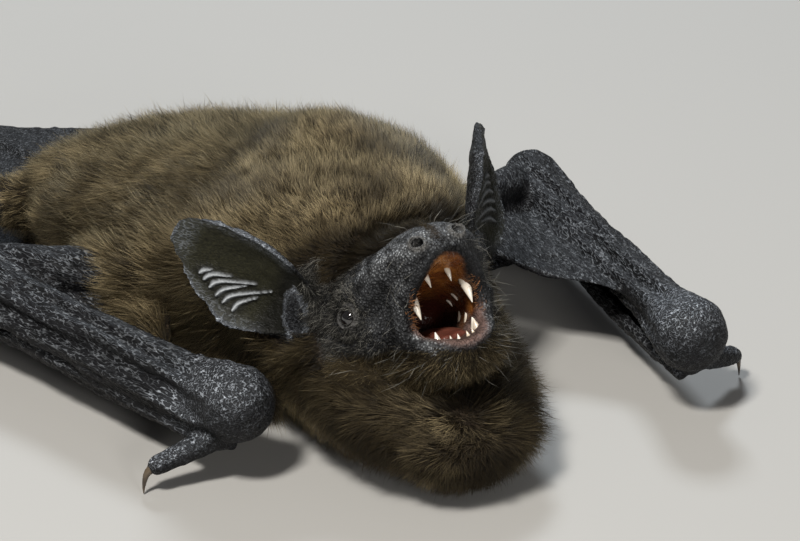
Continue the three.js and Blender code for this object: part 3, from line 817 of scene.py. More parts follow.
def fur_share(co):
    """1 where the skin carries long fur."""
    x, y, z = np.abs(co[:, 0]), co[:, 1], co[:, 2]
    side, forward, up = head_spot(co)
    side = np.abs(side)
    brow = np.interp(forward, *BROW_LINE)
    crown = step(side, brow + 0.3, brow - 0.3) * step(up, 0.4, 1.4)
    nape = np.maximum(step(forward, 2.2, 1.4), step(up, 4.6, 5.6))
    under = np.interp(-up, *JAW_LINE)
    throat = step(forward, under + 0.4, under - 0.4) * step(up, 1.2, 0.6)
    on_head = np.maximum(np.maximum(crown, throat), nape)
    ears = np.zeros(len(co))
    for place in ear_place.values():
        across, deep, along_ear = within(place, co).T
        rise = np.clip(along_ear / EAR["length"], 0, 1)
        middle = -EAR["cup"] * ((2 * across / EAR["width"]) ** 2 - 0.12 * np.sin(math.pi * rise))
        on_ear = (ear_edge(across, rise) < 1.15) * (np.abs(deep - middle) < 0.75)
        ears = np.maximum(ears, on_ear * step(along_ear, 0.6, 1.8))
    for place in tragus_place.values():
        across, deep, rise = within(place, co).T
        beside = np.hypot(across * 0.7, deep)
        ears = np.maximum(ears, step(beside, 0.95, 0.75) * (rise > -0.4) * (rise < 4))
    wide = 9.6 + 2.6 * step(y, -17, -8) - 1.0 * step(y, 10, 15)
    trunk = step(x, wide + 0.6, wide - 0.6) * step(y, 27.5, 26) * step(y, -32, -31)
    trunk = trunk * (1 - step(y, 19, 21) * np.maximum(step(z, 2.8, 2.2), step(x, 7.5, 8.5)))
    low_arm = step(x, 9.0, 10.0) * step(z, 4.2, 3.4)
    near_head = step(np.linalg.norm(within(HEAD, co) - (0, -4, 0), axis=1), 13, 11)
    share = trunk * (1 - low_arm)
    share = np.where(near_head > 0.5, on_head * np.maximum(trunk, step(side, 9, 8)), share)
    return share * (1 - ears) * step(mouth_ring(co), 1.15, 1.4)


# Small crumpled folds all over the bare skin. The skin under the fur then needs few faces, while the
# face and the ears keep nearly all of theirs, and no fold may dip below the floor.
SKIN_TRIANGLES = 190000
co = points(skin)
bare = (1 - fur_share(co)) * step(mouth_ring(co), 0.9, 1.2)
skin.vertex_groups.clear()
group(skin, "bare", bare)
folds = bpy.data.textures.new("skin_folds", "CLOUDS")
folds.noise_scale = 0.9
folds.noise_depth = 2
changed(skin, ("DISPLACE", {"texture": folds, "strength": 0.22, "mid_level": 0.5, "vertex_group": "bare"}))
co = points(skin)
kept_fine = np.maximum(near_face(co) * (head_spot(co)[1] > 3), near_ears(co))
skin.vertex_groups.clear()
group(skin, "thinned", np.maximum(0.1, 1 - np.maximum(0.9 * kept_fine, 0.5 * (1 - fur_share(co)))))
skin.data.calc_loop_triangles()
ratio = min(1, SKIN_TRIANGLES / len(skin.data.loop_triangles))
changed(skin, ("DECIMATE", {"ratio": ratio, "vertex_group": "thinned", "vertex_group_factor": 0.004}))
co = points(skin)
co[:, 2] = np.maximum(co[:, 2], 0.0)
put_points(skin, co)


def field(made, name, values, kind="FLOAT"):
    """Stores a number, or a vector, at each point of a piece for its material to read."""
    stored = made.data.attributes.new(name, kind, "POINT")
    key = "value" if kind == "FLOAT" else "vector"
    stored.data.foreach_set(key, np.asarray(values, np.float32).ravel())


# What each spot of the skin is, and where highlights and shade are painted on it. Grain is a place in
# millimetres, squeezed along the arms so that wrinkles run lengthwise there.
skin_co = points(skin)
skin_normals = normals_of(skin)
side, forward, up = head_spot(skin_co)
furred = fur_share(skin_co)
ring = mouth_ring(skin_co)
grain = skin_co.copy()
for arm in ARMS.values():
    axis, _, run = along_forearm(arm, skin_co)
    beside = step(arm["side"] * skin_co[:, 0], 8.0, 9.5) * step(skin_co[:, 1], 24, 8)
    grain -= np.outer(0.72 * np.maximum(run - 3.0, 0) * beside, axis)
ear_inner, ear_rim, ear_fold, ear_hollow = np.zeros((4, len(skin_co)))
for s, place in ear_place.items():
    ear, near, inner, rim = ear_parts(place, skin_co, skin_normals)
    rise = ear[:, 2]
    tragus = within(tragus_place[s], skin_co)
    lobe = on_tragus(tragus)
    inner = inner * (1 - lobe)
    ear_inner = np.maximum(ear_inner, inner * (1 - rim))
    # Painted highlight: pale along the rim, fainter just inside it, with a ring round the tragus and none at
    # the root.
    ear_rim = np.maximum(ear_rim, EAR_FOLDS_AND_HIGHLIGHTS[s] * rim * (0.25 + 0.75 * inner))
    near_rim = step(ear_edge(ear[:, 0], np.clip(rise / EAR["length"], 0, 1)), 0.65, 0.9)
    ear_rim = np.maximum(ear_rim, 0.2 * inner * np.maximum(near_rim, step(rise, 8.8, 10.3)))
    ear_rim = ear_rim * (1 - lobe) + 0.45 * lobe - 0.4 * on_tragus(tragus, 0.35)
    ear_rim = ear_rim * (1 - step(rise, 3.6, 2.6) * near * (1 - lobe))
    # Painted highlight along the crests of the ear's folds.
    ear_fold = np.maximum(ear_fold, EAR_FOLDS_AND_HIGHLIGHTS[s] * fold_crest(ear, 0.1) * inner)
    # Painted shade between the folds and deep in the ear.
    ear_hollow = np.maximum(ear_hollow, np.maximum(fold_crest(ear, 0.5), step(rise, 4.2, 2.8)) * inner)
off_mouth = step(ring, 1.1, 1.3)
face_skin = near_face(skin_co) * (1 - furred) * off_mouth * (1 - ear_inner)
beaded = face_skin.copy()
for arm in ARMS.values():
    thumb_line = [between(arm["wrist"], arm["thumb"], t) for t in (0, 0.33, 0.67, 1)]
    away = np.min([np.linalg.norm(skin_co - np.array(spot), axis=1) for spot in thumb_line], axis=0)
    beaded = np.maximum(beaded, 0.25 + 0.75 * step(away, 5.5, 2.6))
# Painted highlight: black skin is painted lighter on the side that faces up and to the bat's right, and
# little on the cheeks, which stay in painted shade.
LIT_SIDE = np.array((-0.35, -0.1, 0.93))
shaded_cheek = 1 - 0.7 * face_skin * step(forward, 7.0, 4.5)
# Painted highlights ring the eyelids and the rims of the nostrils.
eye_rings = bell(from_pair(EYE, skin_co), 0.84, 0.13)
nostril_rings = bell(from_pair(NOSTRIL, skin_co), 0.5, 0.12)
areas = {
    "furred": furred,
    "mouth": step(ring, 1.07, 0.98) * step(forward, 0.5, 1.5),
    "lip": bell(ring, 1.16, 0.12) * step(forward, 3, 5) * step(within(JAW, skin_co)[:, 2], 2.0, 1.0),
    "throat": step(forward, 7.5, 2.5),
    "palate": step(up - 0.27 * forward, -0.6, 0.3),
    "ear_inner": ear_inner,
    "ear_rim": ear_rim,
    "ear_fold": ear_fold,
    "ear_hollow": ear_hollow,
    "lid": np.maximum(0.6 * eye_rings, nostril_rings),
    "beaded": beaded * (1 - ear_inner) * off_mouth,
    "face": face_skin,
    # painted highlight on the side of the skin that faces the lamp
    "upper": step(skin_normals @ LIT_SIDE, -0.1, 0.95) * shaded_cheek,
}
field(skin, "grain", grain, "FLOAT_VECTOR")
for name, values in areas.items():
    field(skin, name, values)


def warped(spots, amount, swirl):
    """Places pushed about by noise, so that a pattern on them looks grown."""
    push = {"Factor": amount, 4: spots, 5: spots.noise(swirl, output="Color")}
    return spots.node("ShaderNodeMix", push, output=1, data_type="VECTOR")


def thin_lines(spots, scale, detail, wide, sharp):
    """1 along winding lines, where noise crosses its middle value."""
    return (spots.noise(scale, detail=detail) - 0.5).maths("ABSOLUTE").clipped(wide, sharp)


# Black leather, with winding ridges on the arms and the rims of the ears and pebbles on the face. A pair of
# colours runs from dark to light patches.
# The crests of the ridges and pebbles are painted light as highlights, brightest on skin that faces the
# lamp.
BLACK_SKIN = (0.0025, 0.0025, 0.0028), (0.007, 0.007, 0.0085)
LIT_RIDGES = (0.036, 0.035, 0.032), (0.50, 0.54, 0.60)  # on the forearms, and on wrists and thumbs
LIT_PEBBLES = (0.60, 0.625, 0.65)
EAR_SKIN = (0.005, 0.0048, 0.0025), (0.024, 0.023, 0.011)
EAR_SHADE = (0.002, 0.002, 0.0015)
EAR_RIM_HIGHLIGHT = (0.46, 0.50, 0.56)
EAR_CREST_HIGHLIGHT = (0.40, 0.42, 0.44)
LID_AND_NOSTRIL_HIGHLIGHT = (0.12, 0.116, 0.11)
# The skin under the fur is dark, and is painted dark as shade too, so that gaps in the coat read as shadow.
UNDER_FUR_SKIN_AND_SHADE = (0.012, 0.008, 0.005), (0.035, 0.024, 0.013)
MOUTH_SIDES, PALATE, THROAT = (0.13, 0.04, 0.012), (0.56, 0.20, 0.006), (0.045, 0.010, 0.007)
FLESH_PATCHES = (0.30, 0.115, 0.025), (0.03, 0.008, 0.005)  # on the palate, and in the throat
LIP = (0.20, 0.125, 0.105)
RELIEF = 0.00013

skin_leather, skin_shader, place = material("bat_skin", Specular_IOR_Level=0.18)
area = {name: place.read(name) for name in areas}
face, beaded, rim, mouth, throat = (area[name] for name in ("face", "beaded", "ear_rim", "mouth", "throat"))
grain = place.read("grain", output="Vector")
mottle = grain.noise(0.9, detail=5)
speckle = grain.noise(14, detail=2)
beads = warped(grain, 0.2, 1.4).cells(3.9) ** 2
grains = warped(grain, 0.1, 2.5).cells(6.4) ** 2
ridges = thin_lines(warped(grain, 0.06, 2.0), 4.8, 1, wide=0.07, sharp=0.01)
creases = thin_lines(warped(grain, 0.1, 0.7), 1.3, 3, wide=0.06, sharp=0.0)
crest = ridges * (1 - 0.7 * creases)
pebbles = grains.clipped(0.2, 0.01) * (0.35 + 0.65 * ridges)
# Painted highlight: the ridges and pebbles are painted lighter where the skin faces up towards the lamp.
upper = 0.1 + 0.9 * area["upper"] ** 2

lit = (0.02 + 0.03 * beaded + 0.95 * crest) * upper * (1 - face)
leather = lit.mix(mottle.clipped(0.35, 0.7).mix(*BLACK_SKIN), beaded.mix(*LIT_RIDGES))
lit_face = face * (0.14 + 0.86 * pebbles) * upper * mottle.clipped(0.36, 0.58)
leather = lit_face.mix(leather, LIT_PEBBLES)
leather = area["ear_inner"].mix(leather, speckle.clipped(0.3, 0.7).mix(*EAR_SKIN))
# Painted shade between the ear's folds and deep inside it.
leather = (0.85 * area["ear_hollow"]).mix(leather, EAR_SHADE)
# Painted highlight along the rims of the ears.
leather = (rim * (0.2 + 0.8 * ridges)).mix(leather, EAR_RIM_HIGHLIGHT)
# Painted highlight on the fold crests.
leather = area["ear_fold"].mix(leather, EAR_CREST_HIGHLIGHT)
leather = area["lid"].mix(leather, LID_AND_NOSTRIL_HIGHLIGHT)
flesh = throat.mix(area["palate"].mix(MOUTH_SIDES, PALATE), THROAT)
flesh = mottle.clipped(0.4, 0.65).mix(flesh, throat.mix(*FLESH_PATCHES))
skin_colour = area["furred"].mix(leather, mottle.clipped(0.3, 0.7).mix(*UNDER_FUR_SKIN_AND_SHADE))
skin_colour = (area["lip"] * 0.8).mix(skin_colour, LIP)
skin_colour = mouth.mix(skin_colour, flesh)
skin_rough = 0.55 - 0.25 * crest * (1 - face) - 0.25 * pebbles * face
skin_rough = skin_rough + 0.1 * mottle + 0.2 * area["furred"] - 0.2 * rim - 0.35 * mouth
relief = 1 - 0.8 * beads * (1 - face) - 1.6 * grains * face + 0.06 * speckle - 0.6 * creases
relief = relief + 1.6 * ridges * (1 - face) * (0.35 + 0.65 * beaded) + 0.6 * rim * ridges
relief = relief * (1 - area["ear_inner"] * (1 - rim) * 0.85) * (1 - mouth * 0.8)
wire(skin_shader, Base_Color=skin_colour, Roughness=skin_rough, bump=(relief, RELIEF))


def finish_piece(made, paint):
    """Turns a piece from millimetres to metres and gives it its finish and its place in the model."""
    made.data.transform(Matrix.Diagonal((MM, MM, MM, 1)))
    made.data.shade_smooth()
    made.data.materials.append(paint)
    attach(made, "root")


# The skin stands for every solid that has no piece of its own.
own_pieces = {"eye_left", "eye_right", "tongue", "thumb_claw_left", "thumb_claw_right"}
finish_piece(skin, skin_leather)
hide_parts(*[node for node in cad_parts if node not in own_pieces])

# ---- Eyes --------------------------------------------------------------------------------------------
# Two small wet black beads, each a ball under a clear cornea. They sit in sockets of the skin, sunk
# behind the lids.
EYE_BLACK = (0.006, 0.005, 0.005, 1)
eye_gloss, _, _ = material(
    "wet_black_eye", roughness=0.06, Specular_IOR_Level=0.8, Coat_Weight=1.0, Base_Color=EYE_BLACK
)
for s, name in ((-1, "right"), (1, "left")):
    ball_shape = bmesh.new()
    bmesh.ops.create_uvsphere(ball_shape, u_segments=40, v_segments=28, radius=EYE_RADIUS)
    centre = Vector((s * EYE.x, EYE.y, EYE.z))
    bmesh.ops.translate(ball_shape, vec=HEAD @ centre, verts=ball_shape.verts)
    ball = as_object("eyeball_" + name, ball_shape)
    finish_piece(ball, eye_gloss)
    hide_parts("eye_" + name)

# ---- Teeth and tongue --------------------------------------------------------------------------------
# Needle-sharp white teeth grow from both jaws: a long curved canine on each side, small incisors
# between and low cheek teeth behind. The tongue lies flat on the floor of the mouth.
UPPER_TEETH = [  # side, forward, root height, radius, length
    (1.85, 7.5, -0.75, 0.31, 1.4),
    (0.75, 8.4, 0.05, 0.17, 0.8),
    (2.0, 6.2, 0.0, 0.3, 0.85),
    (2.1, 5.1, 0.0, 0.38, 0.95),
    (2.15, 4.0, 0.0, 0.4, 0.9),
]
LOWER_TEETH = [
    (1.4, 8.1, -0.3, 0.32, 1.15),
    (0.35, 8.85, -0.1, 0.16, 0.6),
    (0.8, 8.7, -0.1, 0.16, 0.6),
    (1.85, 6.9, 0.0, 0.3, 0.75),
    (2.0, 5.8, 0.1, 0.34, 0.8),
    (2.1, 4.7, 0.1, 0.34, 0.8),
]
TOOTH_TAPER = [(-0.25, 0.95), (0.15, 1.0), (0.5, 0.72), (0.8, 0.38), (1.0, 0.1)]  # share of length, girth
TOOTH_HOOK = 0.16  # how far a tip curves back, as a share of length
enamel, enamel_shader, place = material("tooth_enamel", roughness=0.18, Specular_IOR_Level=0.6)
stain = place.noise(900, detail=3)
ivory = stain.clipped(0.35, 0.75).mix((0.86, 0.82, 0.74), (0.62, 0.50, 0.36))
wire(enamel_shader, Base_Color=ivory, bump=(stain, 0.00002))
for name, rows, matrix, up in (
    ("upper_teeth", UPPER_TEETH, HEAD, -1),
    ("lower_teeth", LOWER_TEETH, JAW, 1),
):
    tooth_shape = bmesh.new()
    for s in (-1, 1):
        for side, forward, root, radius, length in rows:
            stations = []
            for t, girth in TOOTH_TAPER:
                r = radius * girth
                back = -forward + TOOTH_HOOK * length * t * t
                stations.append((s * (side - 0.04 * t), back, root + up * t * length, r, r * 1.1, r * 1.1))
            sweep(stations, sides=16, rings=22, cap=0.8, matrix=matrix, into=tooth_shape)
    finish_piece(as_object(name, tooth_shape), enamel)

TONGUE = [(3.2, -0.3, 1.3, 0.5, 0.5), (5.2, -0.1, 1.45, 0.5, 0.5), (7.3, 0.0, 1.1, 0.38, 0.4)]
GROOVE_DEPTH, GROOVE_WIDTH = 0.12, 0.25
tongue_shape = bmesh.new()
sweep(head_rows(TONGUE), sides=32, rings=28, cap=0.7, matrix=JAW, into=tongue_shape)
jaw_up = JAW.to_3x3() @ Vector((0, 0, 1))
for v in tongue_shape.verts:
    groove = JAW.inverted() @ v.co
    v.co -= GROOVE_DEPTH * math.exp(-((groove.x / GROOVE_WIDTH) ** 2)) * jaw_up * (groove.z > 0)
wet_flesh, flesh_shader, place = material("wet_flesh", roughness=0.28)
papillae = place.cells(5200)
flesh_colour = place.noise(700).clipped(0.3, 0.7).mix((0.09, 0.024, 0.016), (0.17, 0.055, 0.036))
wire(flesh_shader, Base_Color=flesh_colour, bump=(papillae, 0.00003))
tongue = as_object("tongue_flesh", tongue_shape)
finish_piece(tongue, wet_flesh)
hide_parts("tongue")

# ---- Claws -------------------------------------------------------------------------------------------
# Hooked claws of dark mottled horn: one on each thumb and one on each toe. Each grows out of its digit
# and curves down to the floor.
horn, horn_shader, place = material("dark_horn", roughness=0.25)
horn_colour = place.noise(1500).clipped(0.35, 0.7).mix((0.030, 0.022, 0.017), (0.10, 0.075, 0.05))
wire(horn_shader, Base_Color=horn_colour)
THUMB_CLAW = {"length": 0.75, "radius": 0.3, "tip_height": 0.12}
TOE_CLAW = {"length": 1.1, "radius": 0.2, "tip_height": 0.1}
CLAW_TAPER = [(-0.2, 0.9), (0.2, 1.0), (0.55, 0.7), (0.85, 0.36), (1.0, 0.12)]  # share of length, girth


def hook(shape, root, ahead, sizes):
    """A claw that runs ahead and curves down to the floor."""
    ahead = Vector((ahead.x, ahead.y, 0)).normalized()
    drop = root.z - sizes["tip_height"]
    stations = []
    for t, girth in CLAW_TAPER:
        fall = Vector((0, 0, drop * max(t, 0) ** 2.2))
        spot = root + ahead * sizes["length"] * math.sin(t * math.pi / 2) - fall
        r = sizes["radius"] * girth
        stations.append((*spot, r * 0.8, r, r))
    sweep(stations, sides=12, rings=18, cap=0.6, into=shape)


for name, arm in ARMS.items():
    claw_shape = bmesh.new()
    reach = Vector(arm["thumb"]) - Vector(arm["wrist"])
    flat = Vector((reach.x, reach.y, 0)).normalized()
    hook(claw_shape, Vector(arm["thumb"]) + flat * 0.15 - Vector((0, 0, 0.15)), flat, THUMB_CLAW)
    claw = as_object("thumb_hook_" + name, claw_shape)
    finish_piece(claw, horn)
    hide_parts("thumb_claw_" + name)
claw_shape = bmesh.new()
for tip, ahead in toe_tips:
    hook(claw_shape, tip + ahead * 0.1, ahead, TOE_CLAW)
finish_piece(as_object("toe_claws", claw_shape), horn)

# ---- Coat --------------------------------------------------------------------------------------------
# Dense fur of fine locks, dark at the root and golden at the tip. It lies towards the tail, rises
# on the crown and hangs at the throat. Every lock is a thin closed spike rooted in the skin.
chance = np.random.default_rng(12)
skin.data.calc_loop_triangles()
corners = np.empty(len(skin.data.loop_triangles) * 3, np.int32)
skin.data.loop_triangles.foreach_get("vertices", corners)
corners = corners.reshape(-1, 3)
edge_a = skin_co[corners[:, 1]] - skin_co[corners[:, 0]]
edge_b = skin_co[corners[:, 2]] - skin_co[corners[:, 0]]
triangle_area = np.linalg.norm(np.cross(edge_a, edge_b), axis=1) / 2
triangle_middle = skin_co[corners].mean(axis=1)


def unit(vectors):
    return vectors / np.maximum(np.linalg.norm(vectors, axis=1), 1e-9)[:, None]


def scatter(count, density):
    """Random places on the skin, more where density is higher, with the skin's normals there."""
    weight = np.cumsum(triangle_area * density)
    chosen = corners[np.searchsorted(weight, chance.random(count) * weight[-1])]
    a, b = chance.random(count), chance.random(count)
    a, b = np.where(a + b > 1, 1 - a, a), np.where(a + b > 1, 1 - b, b)
    share = np.stack([1 - a - b, a, b], axis=1)[:, :, None]
    return (skin_co[chosen] * share).sum(axis=1), unit((skin_normals[chosen] * share).sum(axis=1))


def turned(flow, normal, angle):
    """Flow turned about the normal."""
    across = np.cross(normal, flow)
    return flow * np.cos(angle)[:, None] + across * np.sin(angle)[:, None]


def along_skin(vectors, normal):
    return unit(vectors - normal * (vectors * normal).sum(axis=1)[:, None])


def in_head(side, back, up):
    """Directions in the head's frame as directions in the world."""
    side, back, up = np.broadcast_arrays(side, back, up)
    return np.stack([side, back, up], axis=1) @ np.array(HEAD.to_3x3()).T


def fur_flow(root, normal):
    """The lie of the coat: from the nose over the crown to the tail, and down the throat and flanks."""
    x, y, z = root.T
    side, forward, up = head_spot(root)
    out, level = np.clip(x / 6, -1, 1), np.ones(len(root))
    hump = step(y, -3, -10) * step(z, 9, 12) * step(up, 4, 6)
    low = (step(z, 8, 4) * step(y, -8, -14))[:, None]
    on_body = np.stack([0.35 * out, level, -0.35 + 1.35 * hump], axis=1)
    on_throat = np.stack([0.5 * out, 0.25 * level, -level], axis=1)
    on_crown = in_head(0.45 * np.clip(side / 4, -1, 1), 1, 0.1)
    share = (step(forward, -5, 0.5) * step(z, 5, 9) * (1 - hump))[:, None]
    body = on_body * (1 - low) + on_throat * low
    flow = along_skin(body * (1 - share) + on_crown * share, normal)
    swirl = 0.25 * np.sin(x * 0.7 + 1.3 * np.sin(y * 0.45)) + 0.2 * np.sin(y * 0.9 + z)
    return turned(flow, normal, swirl)


ROOT_DEPTH = 0.15  # how far hairs reach into the skin


def spikes(root, normal, flow, length, lean, width, bend=0.35, curved=False):
    """Corner points of thin three-sided spikes: an array of spikes by points by x, y, z."""
    across = np.cross(flow, normal)
    first = flow * np.cos(lean)[:, None] + normal * np.sin(lean)[:, None]
    later = flow * np.cos(lean - bend)[:, None] + normal * np.sin(lean - bend)[:, None]
    base = root - normal * ROOT_DEPTH
    half = (length / 2)[:, None]
    rings = [(base, 0.8), (base + first * half, 1.0)] if curved else [(base, 1.0)]
    spike = []
    for centre, girth in rings:
        for degrees in (90, 210, 330):
            turn = math.radians(degrees)
            offset = across * math.cos(turn) + normal * math.sin(turn)
            spike.append(centre + offset * (width * girth / 2)[:, None])
    return np.stack([*spike, base + first * half + later * half], axis=1)


CURVED_FACES = [
    (0, 2, 1), (0, 1, 3), (1, 4, 3), (1, 2, 4), (2, 5, 4),
    (2, 0, 5), (0, 3, 5), (3, 4, 6), (4, 5, 6), (5, 3, 6),
]
STRAIGHT_FACES = [(0, 2, 1), (0, 1, 3), (1, 2, 3), (2, 0, 3)]
# Where the corners of a spike lie on its patch of the colour map, from 0 to 1 across and along. PATCH
# is the patch's side.
CURVED_PATCH = [(0, 0), (0.5, 0), (1, 0), (0, 0.5), (0.5, 0.5), (1, 0.5), (0.5, 1)]
STRAIGHT_PATCH = [(0, 0), (0.5, 0), (1, 0), (0.5, 1)]
PATCH = 0.003
MAP_MARGIN = 0.03
LOWEST = 0.04  # no hair comes closer to the floor


def unrolled(root, frame_matrix, middle, long):
    """A root's place on the skin unrolled round the y axis of a frame, from 0 to 1 both ways."""
    local = within(frame_matrix, root)
    turn = np.arctan2(local[:, 0] - middle[0], -(local[:, 2] - middle[1]))
    way_back = np.clip((local[:, 1] - long[0]) / (long[1] - long[0]), 0, 1)
    return MAP_MARGIN + (1 - 2 * MAP_MARGIN) * np.stack([turn / (2 * math.pi) + 0.5, way_back], axis=1)


def coat_piece(name, shape, place, tint, paint):
    """One piece of the coat from spikes, with their places on the colour map and their tints."""
    count, per = shape.shape[:2]
    curved = per == len(CURVED_PATCH)
    faces = np.array(CURVED_FACES if curved else STRAIGHT_FACES)
    patch = np.array(CURVED_PATCH if curved else STRAIGHT_PATCH)
    shape = shape.copy()
    shape[:, :, 2] = np.maximum(shape[:, :, 2], LOWEST)
    index = (np.arange(count)[:, None, None] * per + faces[None]).ravel()
    mesh = bpy.data.meshes.new(name)
    mesh.vertices.add(count * per)
    mesh.vertices.foreach_set("co", (shape * MM).astype(np.float32).ravel())
    mesh.loops.add(len(index))
    mesh.loops.foreach_set("vertex_index", index.astype(np.int32))
    mesh.polygons.add(len(index) // 3)
    mesh.polygons.foreach_set("loop_start", np.arange(0, len(index), 3, dtype=np.int32))
    mesh.update(calc_edges=True)
    spot = (place[:, None, :] + (patch[None] - 0.5) * PATCH).reshape(-1, 2)
    colour_map = mesh.uv_layers.new(name="OFBake")
    colour_map.data.foreach_set("uv", spot[index].astype(np.float32).ravel())
    made = linked(name, mesh)
    field(made, "along", np.tile(patch[:, 1], count))
    field(made, "tint", np.repeat(tint, per))
    mesh.shade_smooth()
    mesh.materials.append(paint)
    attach(made, "root")


def hair_paint(name, dull, bright):
    """Hair dull or bright by its lock's tint, each a colour for its root, its middle and its tip."""
    paint, shader, place = material(name, roughness=0.6, Specular_IOR_Level=0.2)
    up_the_lock = {"Fac": place.read("along")}
    ramps = []
    for colours in (dull, bright):
        stops = list(zip((0.0, 0.5, 1.0), colours))
        ramps.append(place.node("ShaderNodeValToRGB", up_the_lock, stops=stops))
    wire(shader, Base_Color=place.read("tint").mix(*ramps))
    return paint


fur_paint = hair_paint(
    "brown_fur",
    dull=((0.005, 0.0035, 0.0025), (0.014, 0.010, 0.005), (0.06, 0.043, 0.020)),
    bright=((0.010, 0.007, 0.003), (0.070, 0.050, 0.021), (0.90, 0.72, 0.41)),
)
# The coat's density by place, and then its length and its lean off the skin.
CROWN_LENGTH = (-3, 1, 4, 7, 9.5, 11), (2.4, 1.9, 1.6, 1.45, 1.15, 0.8)  # forward, length
CROWN_LEAN = (-3, 2, 6, 9), (36, 40, 36, 30)  # forward, degrees
furred_middle = fur_share(triangle_middle)
side_middle, forward_middle, _ = head_spot(triangle_middle)
x, y, z = triangle_middle.T
seen = 1 + 1.6 * step(forward_middle, -6, 0) * step(z, 6, 9) + 0.5 * step(y, 0, -8)
seen -= 0.6 * step(z, 2.5, 1.5) * step(np.abs(x), 8, 6)
density = step(furred_middle, 0.45, 0.75) * seen


def fur_size(root):
    """Length and lean of the fur at each root."""
    x, y, z = root.T
    forward = head_spot(root)[1]
    share = step(forward, -5, 0.5) * step(z, 5, 9)
    belly = step(z, 5, 2)
    body_length = 2.75 - 0.7 * belly - 0.5 * step(y, 12, 22) - 0.45 * step(y, -13, -17)
    body_length -= 1.1 * step(np.abs(x), 7.5, 9.5) * step(y, 9, 14)
    length = body_length * (1 - share) + np.interp(forward, *CROWN_LENGTH) * share
    length *= 0.35 + 0.65 * step(fur_share(root), 0.5, 1.0)
    return length, np.radians((35 - 8 * belly) * (1 - share) + np.interp(forward, *CROWN_LEAN) * share)


def gold_share(root):
    """How golden the tips are: full on the shoulders, little on the forehead and round the ears, with
    painted shade underneath and on the throat and chest and painted light on the flanks.
    """
    x, y, z = root.T
    _, forward, up = head_spot(root)
    forehead = step(forward, -1, 5) * step(up, 0.0, 1.0) * step(up, 6, 4)
    patches = 0.5 + 0.5 * np.sin(0.8 * x + 1.7 * np.sin(0.5 * y)) * np.sin(0.6 * y + 0.9 * z)
    # Painted shade: the tips are darker underneath and on the throat and chest.
    under = np.maximum(step(z, 3.5, 1.5), 0.8 * step(y, -16, -21) * step(z, 12, 9))
    shoulders = step(y, 0, -8) * step(z, 9, 12)
    # Painted light: the tips are brighter on the flanks.
    lit_flank = step(np.abs(x), 6, 9) * step(z, 3, 5)
    return 1.3 - 0.95 * forehead - 0.65 * patches - 0.95 * under - 0.5 * shoulders + 0.2 * lit_flank


def spread(count, amount):
    return chance.normal(0, amount, count)


# Hairs lean together in small clumps, each with a lie, a length and a tint of its own.
CLUMPS = 9000
clump_root, clump_normal = scatter(CLUMPS, density)
clump_tree = kdtree.KDTree(CLUMPS)
for i, spot in enumerate(clump_root):
    clump_tree.insert(spot, i)
clump_tree.balance()
clump_turn, clump_lean = spread(CLUMPS, 0.2), spread(CLUMPS, 0.08)
clump_stretch = 1 + spread(CLUMPS, 0.07)
clump_tint = np.clip(0.5 + spread(CLUMPS, 0.33), 0, 1)
length, lean = fur_size(clump_root)
flow = turned(fur_flow(clump_root, clump_normal), clump_normal, clump_turn)
length, lean = length * clump_stretch, lean + clump_lean
clump_tip = spikes(clump_root, clump_normal, flow, length, lean, np.ones(CLUMPS))[:, -1]
UPPER_SLOPE = -0.2  # skin that faces further down than this carries the lower pieces
PIECE_TRIANGLES = 196000
BODY_AXIS = (0, 7.5)  # the middle of the trunk, which the colour map is unrolled round


def grow_coat(name, count, thickness, reach, curved):
    """Locks of one kind all over the furred skin, parted into pieces from the nose to the tail."""
    root, normal = scatter(count, density)
    clump = np.array([clump_tree.find(spot)[1] for spot in root])
    length, lean = fur_size(root)
    flow = turned(fur_flow(root, normal), normal, clump_turn[clump] + spread(count, 0.42))
    length = reach * length * clump_stretch[clump] * np.clip(1 + spread(count, 0.15), 0.4, 1.35)
    lean = np.clip(lean + clump_lean[clump] + spread(count, 0.2), 0.06, 1.4)
    width = thickness * np.clip(1 + spread(count, 0.16), 0.6, 1.4)
    tint = np.clip(gold_share(root) * (clump_tint[clump] + spread(count, 0.24)), 0, 1)
    locks = spikes(root, normal, flow, length, lean, width, curved=curved)
    pull = np.clip(0.26 + spread(count, 0.1), 0, 0.5)[:, None]
    locks[:, -1] += (clump_tip[clump] - locks[:, -1]) * pull * min(1, reach)
    upper = normal[:, 2] > UPPER_SLOPE
    room = PIECE_TRIANGLES // (len(CURVED_FACES) if curved else len(STRAIGHT_FACES))
    for part_name, chosen in (("upper", upper), ("lower", ~upper)):
        order = np.nonzero(chosen)[0]
        order = order[np.argsort(root[order, 1], kind="stable")]
        for n, part in enumerate(np.array_split(order, math.ceil(len(order) / room))):
            span = (root[part, 1].min() - 0.1, root[part, 1].max() + 0.1)
            spot = unrolled(root[part], Matrix.Identity(4), BODY_AXIS, span)
            coat_piece(f"{name}_{part_name}_{n + 1}", locks[part], spot, tint[part], fur_paint)


grow_coat("fur", 280000, thickness=0.048, reach=0.92, curved=False)
grow_coat("guard_hairs", 8000, thickness=0.042, reach=1.0, curved=True)

# ---- Face hairs --------------------------------------------------------------------------------------
# The muzzle, cheeks and chin carry sparse short hairs, many of them silvery, their pale tips painted bright
# to stand in for glints as well, and a pale fuzz rings each eye. Like the fur, each hair is a thin solid
# spike.
FACE_SPAN = (-12, 3)  # from the nose to the nape
face_paint = hair_paint(
    "silvery_face_hair",
    dull=((0.003, 0.003, 0.003), (0.006, 0.006, 0.006), (0.018, 0.016, 0.014)),
    bright=((0.02, 0.019, 0.018), (0.26, 0.25, 0.22), (0.85, 0.82, 0.72)),
)


def hair_piece(name, root, normal, flow, length, lean, width, tint, paint=face_paint, **shape):
    hairs = spikes(root, normal, flow, length, lean, width * np.ones(len(root)), **shape)
    coat_piece(name, hairs, unrolled(root, HEAD, (0, 0), FACE_SPAN), np.clip(tint, 0, 1), paint)


def combed(out, back, up):
    """A way of combing hairs, in the head's frame and mirrored on its two sides."""
    return lambda root: in_head(out * np.sign(head_spot(root)[0]), back, up)


